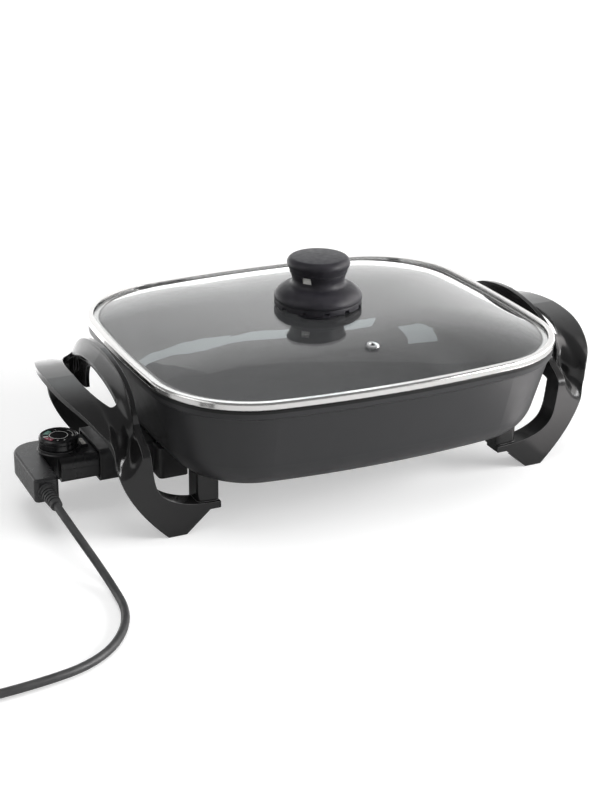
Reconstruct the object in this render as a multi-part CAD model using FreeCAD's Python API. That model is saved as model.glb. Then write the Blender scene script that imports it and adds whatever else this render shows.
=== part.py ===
# Electric frying pan with a loose domed glass lid and a plug-in thermostat probe.
# Millimetres, +Z up. X runs along the pan, the probe is on the -X side and Y = 0 is the middle.
# The sub-parts are drawn about the middle of the pan and moved by frame_x as they are written,
# so that the origin is the middle of the footprint, on the surface that the feet stand on.
import FreeCAD, Part
import math
import os

from FreeCAD import Vector

# Lid rim outline, four bowed sides and four round corners
rim_half_x = 200.0
rim_half_y = 175.0
rim_long_side_r = 924.0
rim_short_side_r = 1244.0
rim_corner_r = 94.0

# Heights above the table
rim_top_z = 140.0
pan_under_z = 46.0

# Lid rim, a rolled steel channel
rim_height = 7.0
rim_sheet = 0.9
rim_top_flange = 6.0
rim_under_flange = 11.0
rim_skirt_drop = 4.0

# Lid glass, with the vent's distance from the front of the rim
glass_thick = 4.0
glass_edge_inset = 1.8
dome_rise = 19.5
dome_power = 2.86
vent_from_front = 65.0
vent_bore_r = 2.0
vent_rim_r = 6.3
vent_barrel_r = 3.6

# Pan casting
seat_gap = 0.3
lip_inset = 1.2
lip_height = 8.6
wall_inset_top = 3.3
wall_inset_foot = 15.5
mouth_inset = 8.0
wall_thick = 4.6
pan_bottom_r = 39.0
pan_floor_thick = 6.0

# Heating element, cast into a ridge under the floor, with its distances from the rim
element_r = 4.0
element_from_end = 88.0
element_from_side = 93.0
element_bend_r = 45.0
element_drop = 1.5
ridge_r = 7.5
lead_spread = 14.0
lead_inset = 32.0
pin_r = 3.0
pin_length = 48.0
insulator_r = 6.5
insulator_length = 9.0
pin_seat_gap = 0.05

# Sensor rod and its well in the casting
sensor_r = 3.2
sensor_gap = 0.35
sensor_well_length = 44.0
sensor_boss_r = 8.0
sensor_reach = 34.0

# Terminal housing that surrounds the pins
housing_reach = 28.0
housing_back_inset = 50.0
housing_base_inset = 22.0
housing_half_y = 30.5
housing_below = 16.0
housing_above = 14.5
housing_wall = 2.6
housing_base_half_y = 46.0
housing_boss_r = 6.0
housing_screw_r = 2.0
housing_screw_head_r = 3.8
housing_screw_head_h = 3.0
housing_screw_y = 40.0
housing_screw_length = 18.0

# Handles, each one moulding with a grip, a guard and two legs, measured out from the rim's end
leg_face_y = 104.0
grip_reach = 65.5
grip_drop = 17.0
guard_reach = 9.5
guard_rise = 4.0
guard_plateau = 4.5
guard_steepness = 3.0
grip_inner_reach = 40.0
slot_inner_reach = 24.0
slot_half_y = 64.0
skin_thick = 3.6
leg_depth = 20.0
grip_depth = 9.0
edge_wall = 3.2
foot_outer_inset = 8.0
foot_length = 17.0
post_inset = 47.0
post_from_face = 15.0
post_half_x = 10.5
post_half_y = 12.0
post_corner_r = 4.0
post_drop = 24.0
handle_screw_r = 2.5
handle_screw_head_r = 4.6
handle_screw_head_h = 3.2
handle_screw_length = 24.0
screw_fit_gap = 0.05
boss_r = 7.8
boss_drop = 7.0

# Knob, with heights above the glass
knob_screw_r = 2.5
knob_skirt_r = 41.3
knob_ring_r = 41.0
knob_ring_clear = 0.4
knob_ring_height = 5.2
knob_skirt_edge = 3.0
knob_skirt_height = 15.0
knob_neck_r = 24.6
knob_neck_height = 11.2
knob_seat_r = 27.0
knob_cap_r = 29.6
knob_cap_height = 14.8
knob_notches = 12
knob_notch_r = 2.6
knob_window_half = 4.5
knob_window_height = 6.6
knob_window_turn = 218.4
inset_recess = 1.0
gasket_thick = 1.5
gasket_r = 20.0
knob_foot_r = 24.0
lower_boss_r = 24.6
lower_boss_height = 9.1
washer_r = 7.0
washer_thick = 1.2
knob_insert_r = 4.5
knob_insert_length = 14.0
knob_screw_length = 22.0
knob_screw_head_r = 5.0
knob_screw_head_h = 3.4

# Thermostat probe, measured out from the rim's end and up from the pins
nose_gap = 1.6
nose_end_reach = 3.0
nose_start_reach = 63.0
nose_shoulder_r = 6.0
bar_inner_reach = 74.5
bar_outer_reach = 96.5
bar_front_y = -58.0
bar_rear_y = 25.5
bar_corner_r = 21.5
bar_front_corner_r = 4.0
link_front_y = -8.0
shell_wall = 2.4
shell_edge_r = 2.4
dial_reach = 56.5
dial_r = 17.8
dial_rise = 23.5
dial_height = 9.5
dial_gap = 0.5
hub_r = 19.0
shaft_r = 3.0
shaft_gap = 0.08
sleeve_wall = 1.4
sleeve_length = 27.0
probe_screw_r = 1.3
probe_screw_head_r = 2.4
probe_post_wall = 0.7
lens_reach = 34.9
lens_half_x = 2.0
lens_half_y = 6.5
lens_rise = 14.0
lens_hood_wall = 1.2

# Cord, its relief and its plug
cord_d = 7.0
relief_length = 24.0
relief_root_r = 7.0
relief_tip_r = 5.2
relief_ribs = 5
relief_from_edge = 10.5
relief_drop = 1.6
relief_dip = 3.0
relief_swing = 1.2
relief_spigot_r = 4.0
coil_x = -440.0
coil_front_y = -290.0
coil_entry_r = 42.0
coil_pitch = 7.7
tie_thick = 1.0
tie_width = 9.0
tie_gap = 0.3
plug_body_r = 17.5
plug_body_length = 36.0
plug_relief_length = 26.0
plug_relief_tip_r = 4.8
plug_relief_root_r = 7.5
plug_pin_r = 2.4
plug_pin_length = 19.0
plug_pin_spread = 9.5
plug_end_x = -560.0
plug_y = -284.0

# Heights and places that follow from the values above
rim_low_z = rim_top_z - rim_height
pan_top_z = rim_low_z - seat_gap
lip_low_z = pan_top_z - lip_height
pan_floor_z = pan_under_z + pan_floor_thick
glass_low_z = rim_low_z + rim_sheet + 0.2
glass_edge_z = glass_low_z + glass_thick
dome_top_z = glass_edge_z + dome_rise
dome_under_z = dome_top_z - glass_thick
vent_y = vent_from_front - rim_half_y

element_z = pan_under_z - element_drop
element_half_x = rim_half_x - element_from_end
element_half_y = rim_half_y - element_from_side
lead_end_x = lead_inset - rim_half_x
pin_end_x = lead_end_x - pin_length

housing_mouth_x = -rim_half_x - housing_reach
housing_back_x = housing_back_inset - rim_half_x
housing_base_x = housing_base_inset - rim_half_x
housing_low_z = element_z - housing_below
housing_high_z = element_z + housing_above

grip_edge_x = rim_half_x + grip_reach
grip_top_z = rim_top_z - grip_drop
grip_inner_x = rim_half_x + grip_inner_reach
guard_edge_x = rim_half_x + guard_reach
guard_top_z = rim_top_z + guard_rise
slot_inner_x = rim_half_x + slot_inner_reach
foot_outer_x = rim_half_x - foot_outer_inset
foot_inner_x = foot_outer_x - foot_length
post_x = rim_half_x - post_inset
post_y = leg_face_y - post_from_face
post_low_z = pan_under_z - post_drop
arm_end_x = post_x - post_half_x
boss_low_z = pan_under_z - boss_drop

knob_base_z = dome_top_z + gasket_thick
knob_ring_z = dome_top_z + knob_ring_clear
knob_seam_z = knob_ring_z + knob_ring_height
knob_neck_z = knob_seam_z + knob_skirt_height
knob_seat_z = knob_neck_z + knob_neck_height
knob_top_z = knob_seat_z + knob_cap_height
lower_boss_z = dome_under_z - lower_boss_height
knob_washer_z = dome_under_z - 3.2

nose_half_y = housing_half_y - housing_wall - nose_gap
nose_low_z = housing_low_z + housing_wall + nose_gap
nose_high_z = housing_high_z - housing_wall - nose_gap
nose_end_x = -rim_half_x - nose_end_reach
nose_start_x = -rim_half_x - nose_start_reach
bar_inner_x = -rim_half_x - bar_inner_reach
bar_outer_x = -rim_half_x - bar_outer_reach
part_line_z = element_z
dial_x = -rim_half_x - dial_reach
dial_top_z = element_z + dial_rise
hub_top_z = dial_top_z - dial_height - dial_gap
lens_x = -rim_half_x - lens_reach
lens_top_z = element_z + lens_rise
relief_x = bar_outer_x + relief_from_edge
relief_z = element_z - relief_drop
frame_x = (-bar_outer_x - grip_edge_x) / 2


# General shapes
def circle_wire(centre, normal, radius):
    return Part.Wire(Part.makeCircle(radius, centre, normal))


def rod(start, end, radius):
    run = end - start
    return Part.makeCylinder(radius, run.Length, start, run)


def cone(start, end, start_r, end_r):
    run = end - start
    return Part.makeCone(start_r, end_r, run.Length, start, run)


def block(x0, x1, y0, y1, z0, z1):
    return Part.makeBox(x1 - x0, y1 - y0, z1 - z0, Vector(x0, y0, z0))


def face_of(edges):
    return Part.Face(Part.Wire(edges))


def closed_polygon(points):
    return Part.makePolygon(points + [points[0]])


def turned(points, centre_x, centre_y):
    """A solid turned about a vertical axis from (radius, z) points."""
    outline = closed_polygon([Vector(centre_x + r, centre_y, z) for r, z in points])
    return Part.Face(outline).revolve(Vector(centre_x, centre_y, 0), Vector(0, 0, 1), 360)


def fused(shapes):
    result = shapes[0].multiFuse(shapes[1:]) if len(shapes) > 1 else shapes[0]
    return result.removeSplitter()


def upright_edges(shape, low, high):
    """Vertical edges between the two heights."""
    found = []
    for edge in shape.Edges:
        box = edge.BoundBox
        if box.XLength < 0.01 and box.YLength < 0.01 and box.ZMin > low - 0.1 and box.ZMax < high + 0.1:
            found.append(edge)
    return found


def level_edges(shape, z):
    return [edge for edge in shape.Edges
            if abs(edge.BoundBox.ZMin - z) < 0.05 and edge.BoundBox.ZLength < 0.1]


# Bowed rectangle that the rim, the lip and the pan all share
def corner_data(half_x=rim_half_x, half_y=rim_half_y, long_r=rim_long_side_r,
                short_r=rim_short_side_r, corner_r=rim_corner_r):
    """Centre of a corner arc, and the angles at which it meets the short and the long side."""
    long_centre = Vector(0, half_y - long_r, 0)
    short_centre = Vector(half_x - short_r, 0, 0)
    to_long = long_r - corner_r
    to_short = short_r - corner_r
    between = short_centre - long_centre
    reach = between.Length
    along = (to_long ** 2 - to_short ** 2 + reach ** 2) / (2 * reach)
    across = math.sqrt(to_long ** 2 - along ** 2)
    unit = between / reach
    corner = long_centre + unit * along + Vector(unit.y, -unit.x, 0) * across
    side_angle = math.degrees(math.atan2(corner.y, corner.x - short_centre.x))
    end_angle = math.degrees(math.atan2(corner.y - long_centre.y, corner.x))
    return corner, side_angle, end_angle


def bowed_outline(half_x, half_y, long_r, short_r, corner_r, z):
    """Four side arcs and four corner arcs, all tangent."""
    corner, side_angle, end_angle = corner_data(half_x, half_y, long_r, short_r, corner_r)

    def on_corner(degrees):
        angle = math.radians(degrees)
        return corner + Vector(math.cos(angle), math.sin(angle), 0) * corner_r

    on_short = on_corner(side_angle)
    on_middle = on_corner((side_angle + end_angle) / 2)
    on_long = on_corner(end_angle)
    right = Vector(half_x, 0, 0)
    back = Vector(0, half_y, 0)

    def arc(first, middle, last, signs):
        ends = [Vector(point.x * sx, point.y * sy, z)
                for point, (sx, sy) in zip((first, middle, last), signs)]
        return Part.Arc(ends[0], ends[1], ends[2]).toShape()

    return Part.Wire([
        arc(on_short, right, on_short, ((1, -1), (1, 1), (1, 1))),
        arc(on_short, on_middle, on_long, ((1, 1), (1, 1), (1, 1))),
        arc(on_long, back, on_long, ((1, 1), (1, 1), (-1, 1))),
        arc(on_long, on_middle, on_short, ((-1, 1), (-1, 1), (-1, 1))),
        arc(on_short, right, on_short, ((-1, 1), (-1, 1), (-1, -1))),
        arc(on_short, on_middle, on_long, ((-1, -1), (-1, -1), (-1, -1))),
        arc(on_long, back, on_long, ((-1, -1), (1, -1), (1, -1))),
        arc(on_long, on_middle, on_short, ((1, -1), (1, -1), (1, -1))),
    ])


def inset_outline(inset, z):
    """The rim outline moved inwards by an even distance."""
    return bowed_outline(rim_half_x - inset, rim_half_y - inset, rim_long_side_r - inset,
                         rim_short_side_r - inset, rim_corner_r - inset, z)


def scaled_outline(share, z):
    """The rim outline drawn smaller about its middle."""
    return bowed_outline(rim_half_x * share, rim_half_y * share, rim_long_side_r * share,
                         rim_short_side_r * share, rim_corner_r * share, z)


def inset_prism(inset, low, high):
    return Part.Face(inset_outline(inset, low)).extrude(Vector(0, 0, high - low))


def around_rim(edges):
    """A solid whose section runs round the rim outline; x of the section is minus the inset."""
    section = face_of(edges)
    corner, side_angle, end_angle = corner_data()
    turn = end_angle - side_angle
    sectors = [
        (rim_half_x - rim_short_side_r, 0, rim_short_side_r, -side_angle, 2 * side_angle),
        (corner.x, corner.y, rim_corner_r, side_angle, turn),
        (0, rim_half_y - rim_long_side_r, rim_long_side_r, end_angle, 180 - 2 * end_angle),
        (-corner.x, corner.y, rim_corner_r, 180 - end_angle, turn),
        (rim_short_side_r - rim_half_x, 0, rim_short_side_r, 180 - side_angle, 2 * side_angle),
        (-corner.x, -corner.y, rim_corner_r, 180 + side_angle, turn),
        (0, rim_long_side_r - rim_half_y, rim_long_side_r, 180 + end_angle, 180 - 2 * end_angle),
        (corner.x, -corner.y, rim_corner_r, 360 - end_angle, turn),
    ]
    solids = []
    for centre_x, centre_y, radius, start, sweep in sectors:
        part = section.copy()
        part.translate(Vector(radius, 0, 0))
        part.rotate(Vector(0, 0, 0), Vector(0, 0, 1), start)
        part.translate(Vector(centre_x, centre_y, 0))
        solids.append(part.revolve(Vector(centre_x, centre_y, 0), Vector(0, 0, 1), sweep))
    return fused(solids)


def section_lines(points):
    """Straight edges of a section through (inset, z) points, closed."""
    ends = [Vector(-inset, 0, z) for inset, z in points]
    return [Part.makeLine(ends[i], ends[(i + 1) % len(ends)]) for i in range(len(ends))]


# Pan casting
def pan_blank(low_z, high_z, foot_inset, top_inset, bottom_r):
    """The pan's outline as a solid: sloping walls, a round foot and a flat bottom."""
    core = foot_inset + bottom_r
    slope = math.atan2(foot_inset - top_inset, high_z - low_z - bottom_r)
    centre_z = low_z + bottom_r

    def on_foot(angle):
        return Vector(-core + bottom_r * math.cos(angle), 0, centre_z + bottom_r * math.sin(angle))

    touch = on_foot(-slope)
    middle = on_foot((-slope - math.pi / 2) / 2)
    foot = on_foot(-math.pi / 2)
    high = Vector(-top_inset, 0, high_z)
    core_high = Vector(-core, 0, high_z)
    ring = around_rim([
        Part.makeLine(core_high, high),
        Part.makeLine(high, touch),
        Part.Arc(touch, middle, foot).toShape(),
        Part.makeLine(foot, core_high),
    ])
    return fused([ring, inset_prism(core, low_z, high_z)])


def element_path(z):
    """The element's loop, from one lead at the pan's side round to the other."""
    left = -element_half_x
    right = element_half_x
    side = element_half_y
    bend = element_bend_r
    lead = lead_spread
    turn = lead_spread
    diagonal = bend * math.sqrt(0.5)

    def quarter(centre_x, centre_y, start, end, sign_x, sign_y):
        middle = Vector(centre_x + sign_x * diagonal, centre_y + sign_y * diagonal, z)
        return Part.Arc(start, middle, end).toShape()

    def small_quarter(sign):
        centre = Vector(left - turn, sign * (lead + turn), z)
        start = Vector(left - turn, sign * lead, z)
        end = Vector(left, sign * (lead + turn), z)
        middle = centre + Vector(turn * math.sqrt(0.5), -sign * turn * math.sqrt(0.5), 0)
        return start, Part.Arc(start, middle, end).toShape(), end

    low_start, low_turn, low_end = small_quarter(-1)
    high_start, high_turn, high_end = small_quarter(1)
    corner_a = Vector(left, -side + bend, z)
    corner_b = Vector(left + bend, -side, z)
    corner_c = Vector(right - bend, -side, z)
    corner_d = Vector(right, -side + bend, z)
    corner_e = Vector(right, side - bend, z)
    corner_f = Vector(right - bend, side, z)
    corner_g = Vector(left + bend, side, z)
    corner_h = Vector(left, side - bend, z)
    return Part.Wire([
        Part.makeLine(Vector(lead_end_x, -lead, z), low_start),
        low_turn,
        Part.makeLine(low_end, corner_a),
        quarter(left + bend, -side + bend, corner_a, corner_b, -1, -1),
        Part.makeLine(corner_b, corner_c),
        quarter(right - bend, -side + bend, corner_c, corner_d, 1, -1),
        Part.makeLine(corner_d, corner_e),
        quarter(right - bend, side - bend, corner_e, corner_f, 1, 1),
        Part.makeLine(corner_f, corner_g),
        quarter(left + bend, side - bend, corner_g, corner_h, -1, 1),
        Part.makeLine(corner_h, high_end),
        high_turn,
        Part.makeLine(high_start, Vector(lead_end_x, lead, z)),
    ])


def element_tube(radius):
    start = Vector(lead_end_x, -lead_spread, element_z)
    profile = circle_wire(start, Vector(1, 0, 0), radius)
    return element_path(element_z).makePipeShell([profile], True, False)


def post_places():
    return [Vector(sx * post_x, sy * post_y, 0) for sx in (-1, 1) for sy in (-1, 1)]


def pan_body():
    outer = pan_blank(pan_under_z, lip_low_z + 1, wall_inset_foot, wall_inset_top, pan_bottom_r)
    lip_back = mouth_inset + 1
    lip = around_rim(section_lines([(lip_inset, pan_top_z), (lip_inset, lip_low_z + 1.4),
                                    (lip_inset + 1.4, lip_low_z), (lip_back, lip_low_z),
                                    (lip_back, pan_top_z)]))
    inner_r = pan_bottom_r - wall_thick
    cavity = pan_blank(pan_floor_z, pan_top_z + 0.5, wall_inset_foot + wall_thick, mouth_inset, inner_r)
    bosses = [rod(Vector(p.x, p.y, boss_low_z), Vector(p.x, p.y, pan_under_z + 26), boss_r)
              for p in post_places()]
    ridge = element_tube(ridge_r)
    well_end = lead_end_x + sensor_well_length
    well = rod(Vector(lead_end_x, 0, element_z), Vector(well_end, 0, element_z), sensor_boss_r)
    web = block(lead_end_x, well_end, -lead_spread, lead_spread, element_z - 3, pan_under_z + 3)
    gusset = block(lead_end_x, lead_end_x + 40, -lead_spread - ridge_r, lead_spread + ridge_r,
                   element_z, pan_floor_z + 8)
    for side in (-1, 1):
        start = housing_screw_start(side)
        bosses.append(rod(Vector(start.x, start.y, pan_under_z), start + Vector(0, 0, 18), housing_boss_r))
    under = fused([outer, lip] + bosses + [ridge, well, web, gusset])
    body = under.cut(cavity).cut(element_tube(element_r))
    reach = Vector(lead_end_x + sensor_reach + 4, 0, element_z)
    body = body.cut(rod(Vector(lead_end_x - 1, 0, element_z), reach, sensor_r + sensor_gap))
    for place in post_places():
        top = Vector(place.x, place.y, post_low_z + handle_screw_head_h + handle_screw_length + 1)
        body = body.cut(rod(Vector(place.x, place.y, boss_low_z - 1), top, handle_screw_r + screw_fit_gap))
    for side in (-1, 1):
        start = housing_screw_start(side)
        top = Vector(start.x, start.y, housing_low_z + housing_screw_head_h + housing_screw_length + 1)
        body = body.cut(rod(start, top, housing_screw_r + screw_fit_gap))
    return body


def heating_element():
    return element_tube(element_r)


def terminal_pins():
    pins = []
    for side in (-1, 1):
        y = side * lead_spread
        shank = rod(Vector(lead_end_x, y, element_z), Vector(pin_end_x, y, element_z), pin_r)
        pins.append(shank.makeChamfer(1.0, [shank.Edges[i] for i in end_circle(shank, pin_end_x)]))
    return Part.makeCompound(pins)


def end_circle(shape, x):
    """Indices of the edges that lie in a plane across X."""
    return [i for i, edge in enumerate(shape.Edges)
            if edge.BoundBox.XLength < 0.01 and abs(edge.BoundBox.XMin - x) < 0.01]


def pin_insulators():
    rings = []
    for side in (-1, 1):
        start = Vector(lead_end_x, side * lead_spread, element_z)
        end = start - Vector(insulator_length, 0, 0)
        collar = rod(start, start - Vector(4, 0, 0), insulator_r)
        sleeve = cone(start, end, insulator_r - 1.2, insulator_r - 2.2)
        rings.append(collar.fuse(sleeve).cut(rod(start, end, pin_r + pin_seat_gap)))
    return Part.makeCompound(rings)


# Terminal housing
def housing_screw_start(side):
    return Vector(housing_back_x - 12, side * housing_screw_y, pan_under_z - 1)


def terminal_housing():
    tunnel = block(housing_mouth_x, housing_back_x, -housing_half_y, housing_half_y,
                   housing_low_z, housing_high_z)
    tunnel = tunnel.makeFillet(5.0, [e for e in tunnel.Edges if e.BoundBox.XLength > 10])
    base = block(housing_base_x, housing_back_x, -housing_base_half_y, housing_base_half_y,
                 housing_low_z, pan_under_z + 12)
    base = base.makeFillet(4.0, upright_edges(base, housing_low_z, pan_under_z + 12))
    hollow = block(housing_mouth_x - 1, housing_back_x - housing_wall, -housing_half_y + housing_wall,
                   housing_half_y - housing_wall, housing_low_z + housing_wall,
                   housing_high_z - housing_wall)
    hollow = hollow.makeFillet(2.4, [e for e in hollow.Edges if e.BoundBox.XLength > 10])
    body = tunnel.fuse(base).cut(hollow)
    body = body.cut(pan_clearance())
    inside = block(housing_base_x + housing_wall, housing_back_x + 1, -housing_half_y, housing_half_y,
                   element_z - sensor_boss_r - seat_gap, pan_under_z + 20)
    body = body.cut(inside)
    for side in (-1, 1):
        start = housing_screw_start(side)
        place = Vector(start.x, start.y, 0)
        body = body.cut(rod(Vector(start.x, start.y, pan_under_z), place + Vector(0, 0, 80),
                            housing_boss_r + seat_gap))
        body = body.cut(rod(place, place + Vector(0, 0, 80), housing_screw_r + screw_fit_gap))
        body = body.cut(rod(place, place + Vector(0, 0, housing_low_z + housing_screw_head_h),
                            housing_screw_head_r + seat_gap))
    return body


def housing_screws():
    screws = []
    for side in (-1, 1):
        start = housing_screw_start(side)
        low = Vector(start.x, start.y, housing_low_z + 0.4)
        seat = Vector(start.x, start.y, housing_low_z + housing_screw_head_h)
        tip = seat + Vector(0, 0, housing_screw_length)
        screws.append(cross_screw(low, seat, tip, housing_screw_head_r, housing_screw_r))
    return Part.makeCompound(screws)


def cross_screw(head_end, seat, tip, head_r, shank_r):
    """A screw with a flat cross recess in its head, head first."""
    way = (tip - head_end).normalize()
    head = rod(head_end, seat, head_r)
    shank = rod(seat - way * 0.5, tip, shank_r)
    body = head.fuse(shank).removeSplitter()
    depth = (seat - head_end).Length * 0.55
    long_half = head_r * 0.62
    short_half = head_r * 0.13
    slot_a = Part.makeBox(2 * long_half, 2 * short_half, depth + 1)
    slot_a.translate(Vector(-long_half, -short_half, -1))
    slot_b = Part.makeBox(2 * short_half, 2 * long_half, depth + 1)
    slot_b.translate(Vector(-short_half, -long_half, -1))
    recess = slot_a.fuse(slot_b)
    recess.Placement = FreeCAD.Placement(head_end, FreeCAD.Rotation(Vector(0, 0, 1), way))
    return body.cut(recess)


# Moulded handles
def pan_clearance():
    """The pan's outside grown by the seat gap, for cutting the pieces that close up to it."""
    return pan_blank(pan_under_z, pan_top_z, wall_inset_foot - seat_gap, wall_inset_top - seat_gap,
                     pan_bottom_r)


def guard_share(x):
    """1 at the flat top of the guard, 0 from the grip outwards."""
    return min(1.0, max(0.0, (grip_inner_x - x) / (grip_inner_x - guard_edge_x - guard_plateau)))


def crest_z(x):
    """Height of the moulding along its middle: a high guard that falls to the level grip."""
    return grip_top_z + (guard_top_z - grip_top_z) * guard_share(x) ** guard_steepness


def bezier_edge(x, poles):
    """Smooth curve in the plane at X, from its (y, z) poles."""
    curve = Part.BezierCurve()
    curve.setPoles([Vector(x, y, z) for y, z in poles])
    return curve.toShape()


def arch_wire(x, side_inset, top_inset):
    """Section across X: two straight legs drawn in at the flanks and joined over the top by an arch."""
    half = leg_face_y - side_inset
    share = guard_share(x)
    spring = crest_z(x) - 66
    top = crest_z(x) - top_inset
    flank_y = half - 1.5 - 22.5 * share
    flank_z = top - 40
    bend = (flank_z - spring) / 2
    crown_y = (0.67 - 0.13 * share) * leg_face_y - side_inset
    low = -20.0

    def flank(side):
        return bezier_edge(x, [(side * half, spring), (side * half, spring + bend),
                               (side * flank_y, flank_z - bend), (side * flank_y, flank_z)])

    def arch(side):
        return bezier_edge(x, [(side * flank_y, flank_z), (side * flank_y, flank_z + 23),
                               (side * crown_y, top - 2), (0, top)])

    return Part.Wire([
        Part.makeLine(Vector(x, -half, low), Vector(x, -half, spring)),
        flank(-1),
        arch(-1),
        arch(1),
        flank(1),
        Part.makeLine(Vector(x, half, spring), Vector(x, half, low)),
        Part.makeLine(Vector(x, half, low), Vector(x, -half, low)),
    ])


def arch_solid(side_inset, top_inset):
    plateau_end = guard_edge_x + guard_plateau
    pitch = (grip_inner_x - plateau_end) / 5
    count = math.ceil((grip_edge_x + 3 - plateau_end) / pitch)
    stations = [plateau_end + pitch * index for index in range(count + 1)]
    upper = Part.makeLoft([arch_wire(x, side_inset, top_inset) for x in stations], True, False)
    guard_face = Part.Face(arch_wire(plateau_end, side_inset, top_inset))
    guard = guard_face.extrude(Vector(arm_end_x - 5 - plateau_end, 0, 0))
    return fused([upper, guard])


def spline_edge(points):
    curve = Part.BSplineCurve()
    curve.interpolate(points)
    return curve.toShape()


def front_outline(shift_x, shift_z):
    """The moulding seen from the front: foot, leg, grip end, guard and the arm under the pan."""
    swing = grip_edge_x - foot_outer_x
    far = grip_edge_x + 8
    high = guard_top_z + 16

    def at(x, z):
        return Vector(x + shift_x, -leg_face_y - 10, z + shift_z)

    def on_leg(swing_share, height_share):
        return at(foot_outer_x + swing * swing_share, grip_top_z * height_share)

    tip = on_leg(1.034, 0.959)
    outer = spline_edge([on_leg(0, 0), on_leg(0.218, 0.138), on_leg(0.476, 0.366), on_leg(0.58, 0.53),
                         on_leg(0.612, 0.63), on_leg(0.673, 0.756), on_leg(0.80, 0.86), tip])
    inner = spline_edge([at(guard_edge_x, rim_top_z - 28), at(guard_edge_x - 2.7, rim_top_z - 52),
                         at(rim_half_x + 4.5, pan_under_z + 16), at(rim_half_x - 1.5, pan_under_z - 3),
                         at(rim_half_x - 14, pan_under_z - 12.5), at(rim_half_x - 32, pan_under_z - 18),
                         at(arm_end_x, pan_under_z - 20)])
    arm_low = pan_under_z - 26
    edges = [
        outer,
        Part.makeLine(tip, at(far, grip_top_z + 6)),
        Part.makeLine(at(far, grip_top_z + 6), at(far, high)),
        Part.makeLine(at(far, high), at(guard_edge_x, high)),
        Part.makeLine(at(guard_edge_x, high), at(guard_edge_x, rim_top_z - 28)),
        inner,
        Part.makeLine(at(arm_end_x, pan_under_z - 20), at(arm_end_x, arm_low)),
        Part.makeLine(at(arm_end_x, arm_low), at(arm_end_x + 10, arm_low)),
        Part.makeLine(at(arm_end_x + 10, arm_low), at(foot_inner_x, 0)),
        Part.makeLine(at(foot_inner_x, 0), at(foot_outer_x, 0)),
    ]
    return face_of(edges).extrude(Vector(0, 2 * leg_face_y + 20, 0))


def plan_outline(inset):
    """The moulding seen from above: the bowed outer edge of the grip."""
    bow = grip_edge_x - grip_inner_x
    far = leg_face_y + 8

    def at(x, y):
        return Vector(x - inset, y, -30)

    def on_bow(bow_share, y_share):
        return at(grip_inner_x + bow * bow_share, leg_face_y * y_share)

    near = on_bow(-0.55, -1 - 8 / leg_face_y)
    corner = on_bow(-0.55, 1 + 8 / leg_face_y)
    half_bow = [on_bow(-0.235, 1), on_bow(0.18, 0.9), on_bow(0.45, 0.77), on_bow(0.7, 0.59),
                on_bow(0.863, 0.43)]
    edge = spline_edge([near] + [Vector(point.x, -point.y, point.z) for point in half_bow]
                       + [on_bow(1, 0)] + half_bow[::-1] + [corner])
    edges = [
        edge,
        Part.makeLine(corner, at(rim_half_x / 2, far)),
        Part.makeLine(at(rim_half_x / 2, far), at(rim_half_x / 2, -far)),
        Part.makeLine(at(rim_half_x / 2, -far), near),
    ]
    return face_of(edges).extrude(Vector(0, 0, guard_top_z + 80))


def handle_slot():
    """Finger opening between the guard and the grip."""
    low = rim_top_z - 50
    end = slot_half_y
    bow_x = grip_inner_x - 11
    wall_x = slot_inner_x - 2

    def at(x, y):
        return Vector(x, y, low)

    outer = spline_edge([at(bow_x, -end), at(grip_inner_x - 4, -0.7 * end), at(grip_inner_x, 0),
                         at(grip_inner_x - 4, 0.7 * end), at(bow_x, end)])
    tip_x = (bow_x + wall_x) / 2 - 0.5
    edges = [
        outer,
        Part.Arc(at(bow_x, end), at(tip_x, end + 2), at(wall_x, end - 4)).toShape(),
        Part.makeLine(at(wall_x, end - 4), at(wall_x, 4 - end)),
        Part.Arc(at(wall_x, 4 - end), at(tip_x, -end - 2), at(bow_x, -end)).toShape(),
    ]
    return face_of(edges).extrude(Vector(0, 0, guard_top_z - low + 20))


def handle_post(side):
    """Hollow foot post that carries the pan on a boss, with the screw's counterbore below."""
    y = side * post_y
    low = post_low_z
    post = block(post_x - post_half_x, post_x + post_half_x, y - post_half_y, y + post_half_y, low,
                 pan_under_z + 14)
    post = post.makeFillet(post_corner_r, upright_edges(post, low, pan_under_z + 14))
    return post.makeFillet(1.5, level_edges(post, low))


def handle():
    front = front_outline(0, 0)
    plan = plan_outline(0)
    outer = arch_solid(0, 0)
    envelope = outer.common(front).common(plan)
    skin = envelope.cut(arch_solid(skin_thick, skin_thick))
    deep = envelope.cut(arch_solid(leg_depth, leg_depth))
    inner_rib = deep.cut(front_outline(edge_wall, -edge_wall))
    bow_rib = envelope.cut(arch_solid(grip_depth, grip_depth)).cut(plan_outline(edge_wall))
    foot = deep.common(block(foot_inner_x - 8, foot_outer_x + 20, -leg_face_y, leg_face_y, 0, 7))
    posts = [handle_post(side) for side in (-1, 1)]
    body = fused([skin, inner_rib, bow_rib, foot] + posts)
    body = body.cut(handle_slot())
    body = body.cut(pan_clearance())
    for side in (-1, 1):
        base = Vector(post_x, side * post_y, 0)
        body = body.cut(rod(base + Vector(0, 0, boss_low_z), base + Vector(0, 0, 90), boss_r + seat_gap))
        body = body.cut(rod(base, base + Vector(0, 0, 90), handle_screw_r + screw_fit_gap))
        head_top = base + Vector(0, 0, post_low_z + handle_screw_head_h)
        body = body.cut(rod(base, head_top, handle_screw_head_r + seat_gap))
    return body


def mirrored(shape):
    return shape.mirror(Vector(0, 0, 0), Vector(1, 0, 0))


def handle_screws():
    screws = []
    for place in post_places():
        low = place + Vector(0, 0, post_low_z + 0.4)
        seat = place + Vector(0, 0, post_low_z + handle_screw_head_h)
        tip = seat + Vector(0, 0, handle_screw_length)
        screws.append(cross_screw(low, seat, tip, handle_screw_head_r, handle_screw_r))
    return Part.makeCompound(screws)


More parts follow.
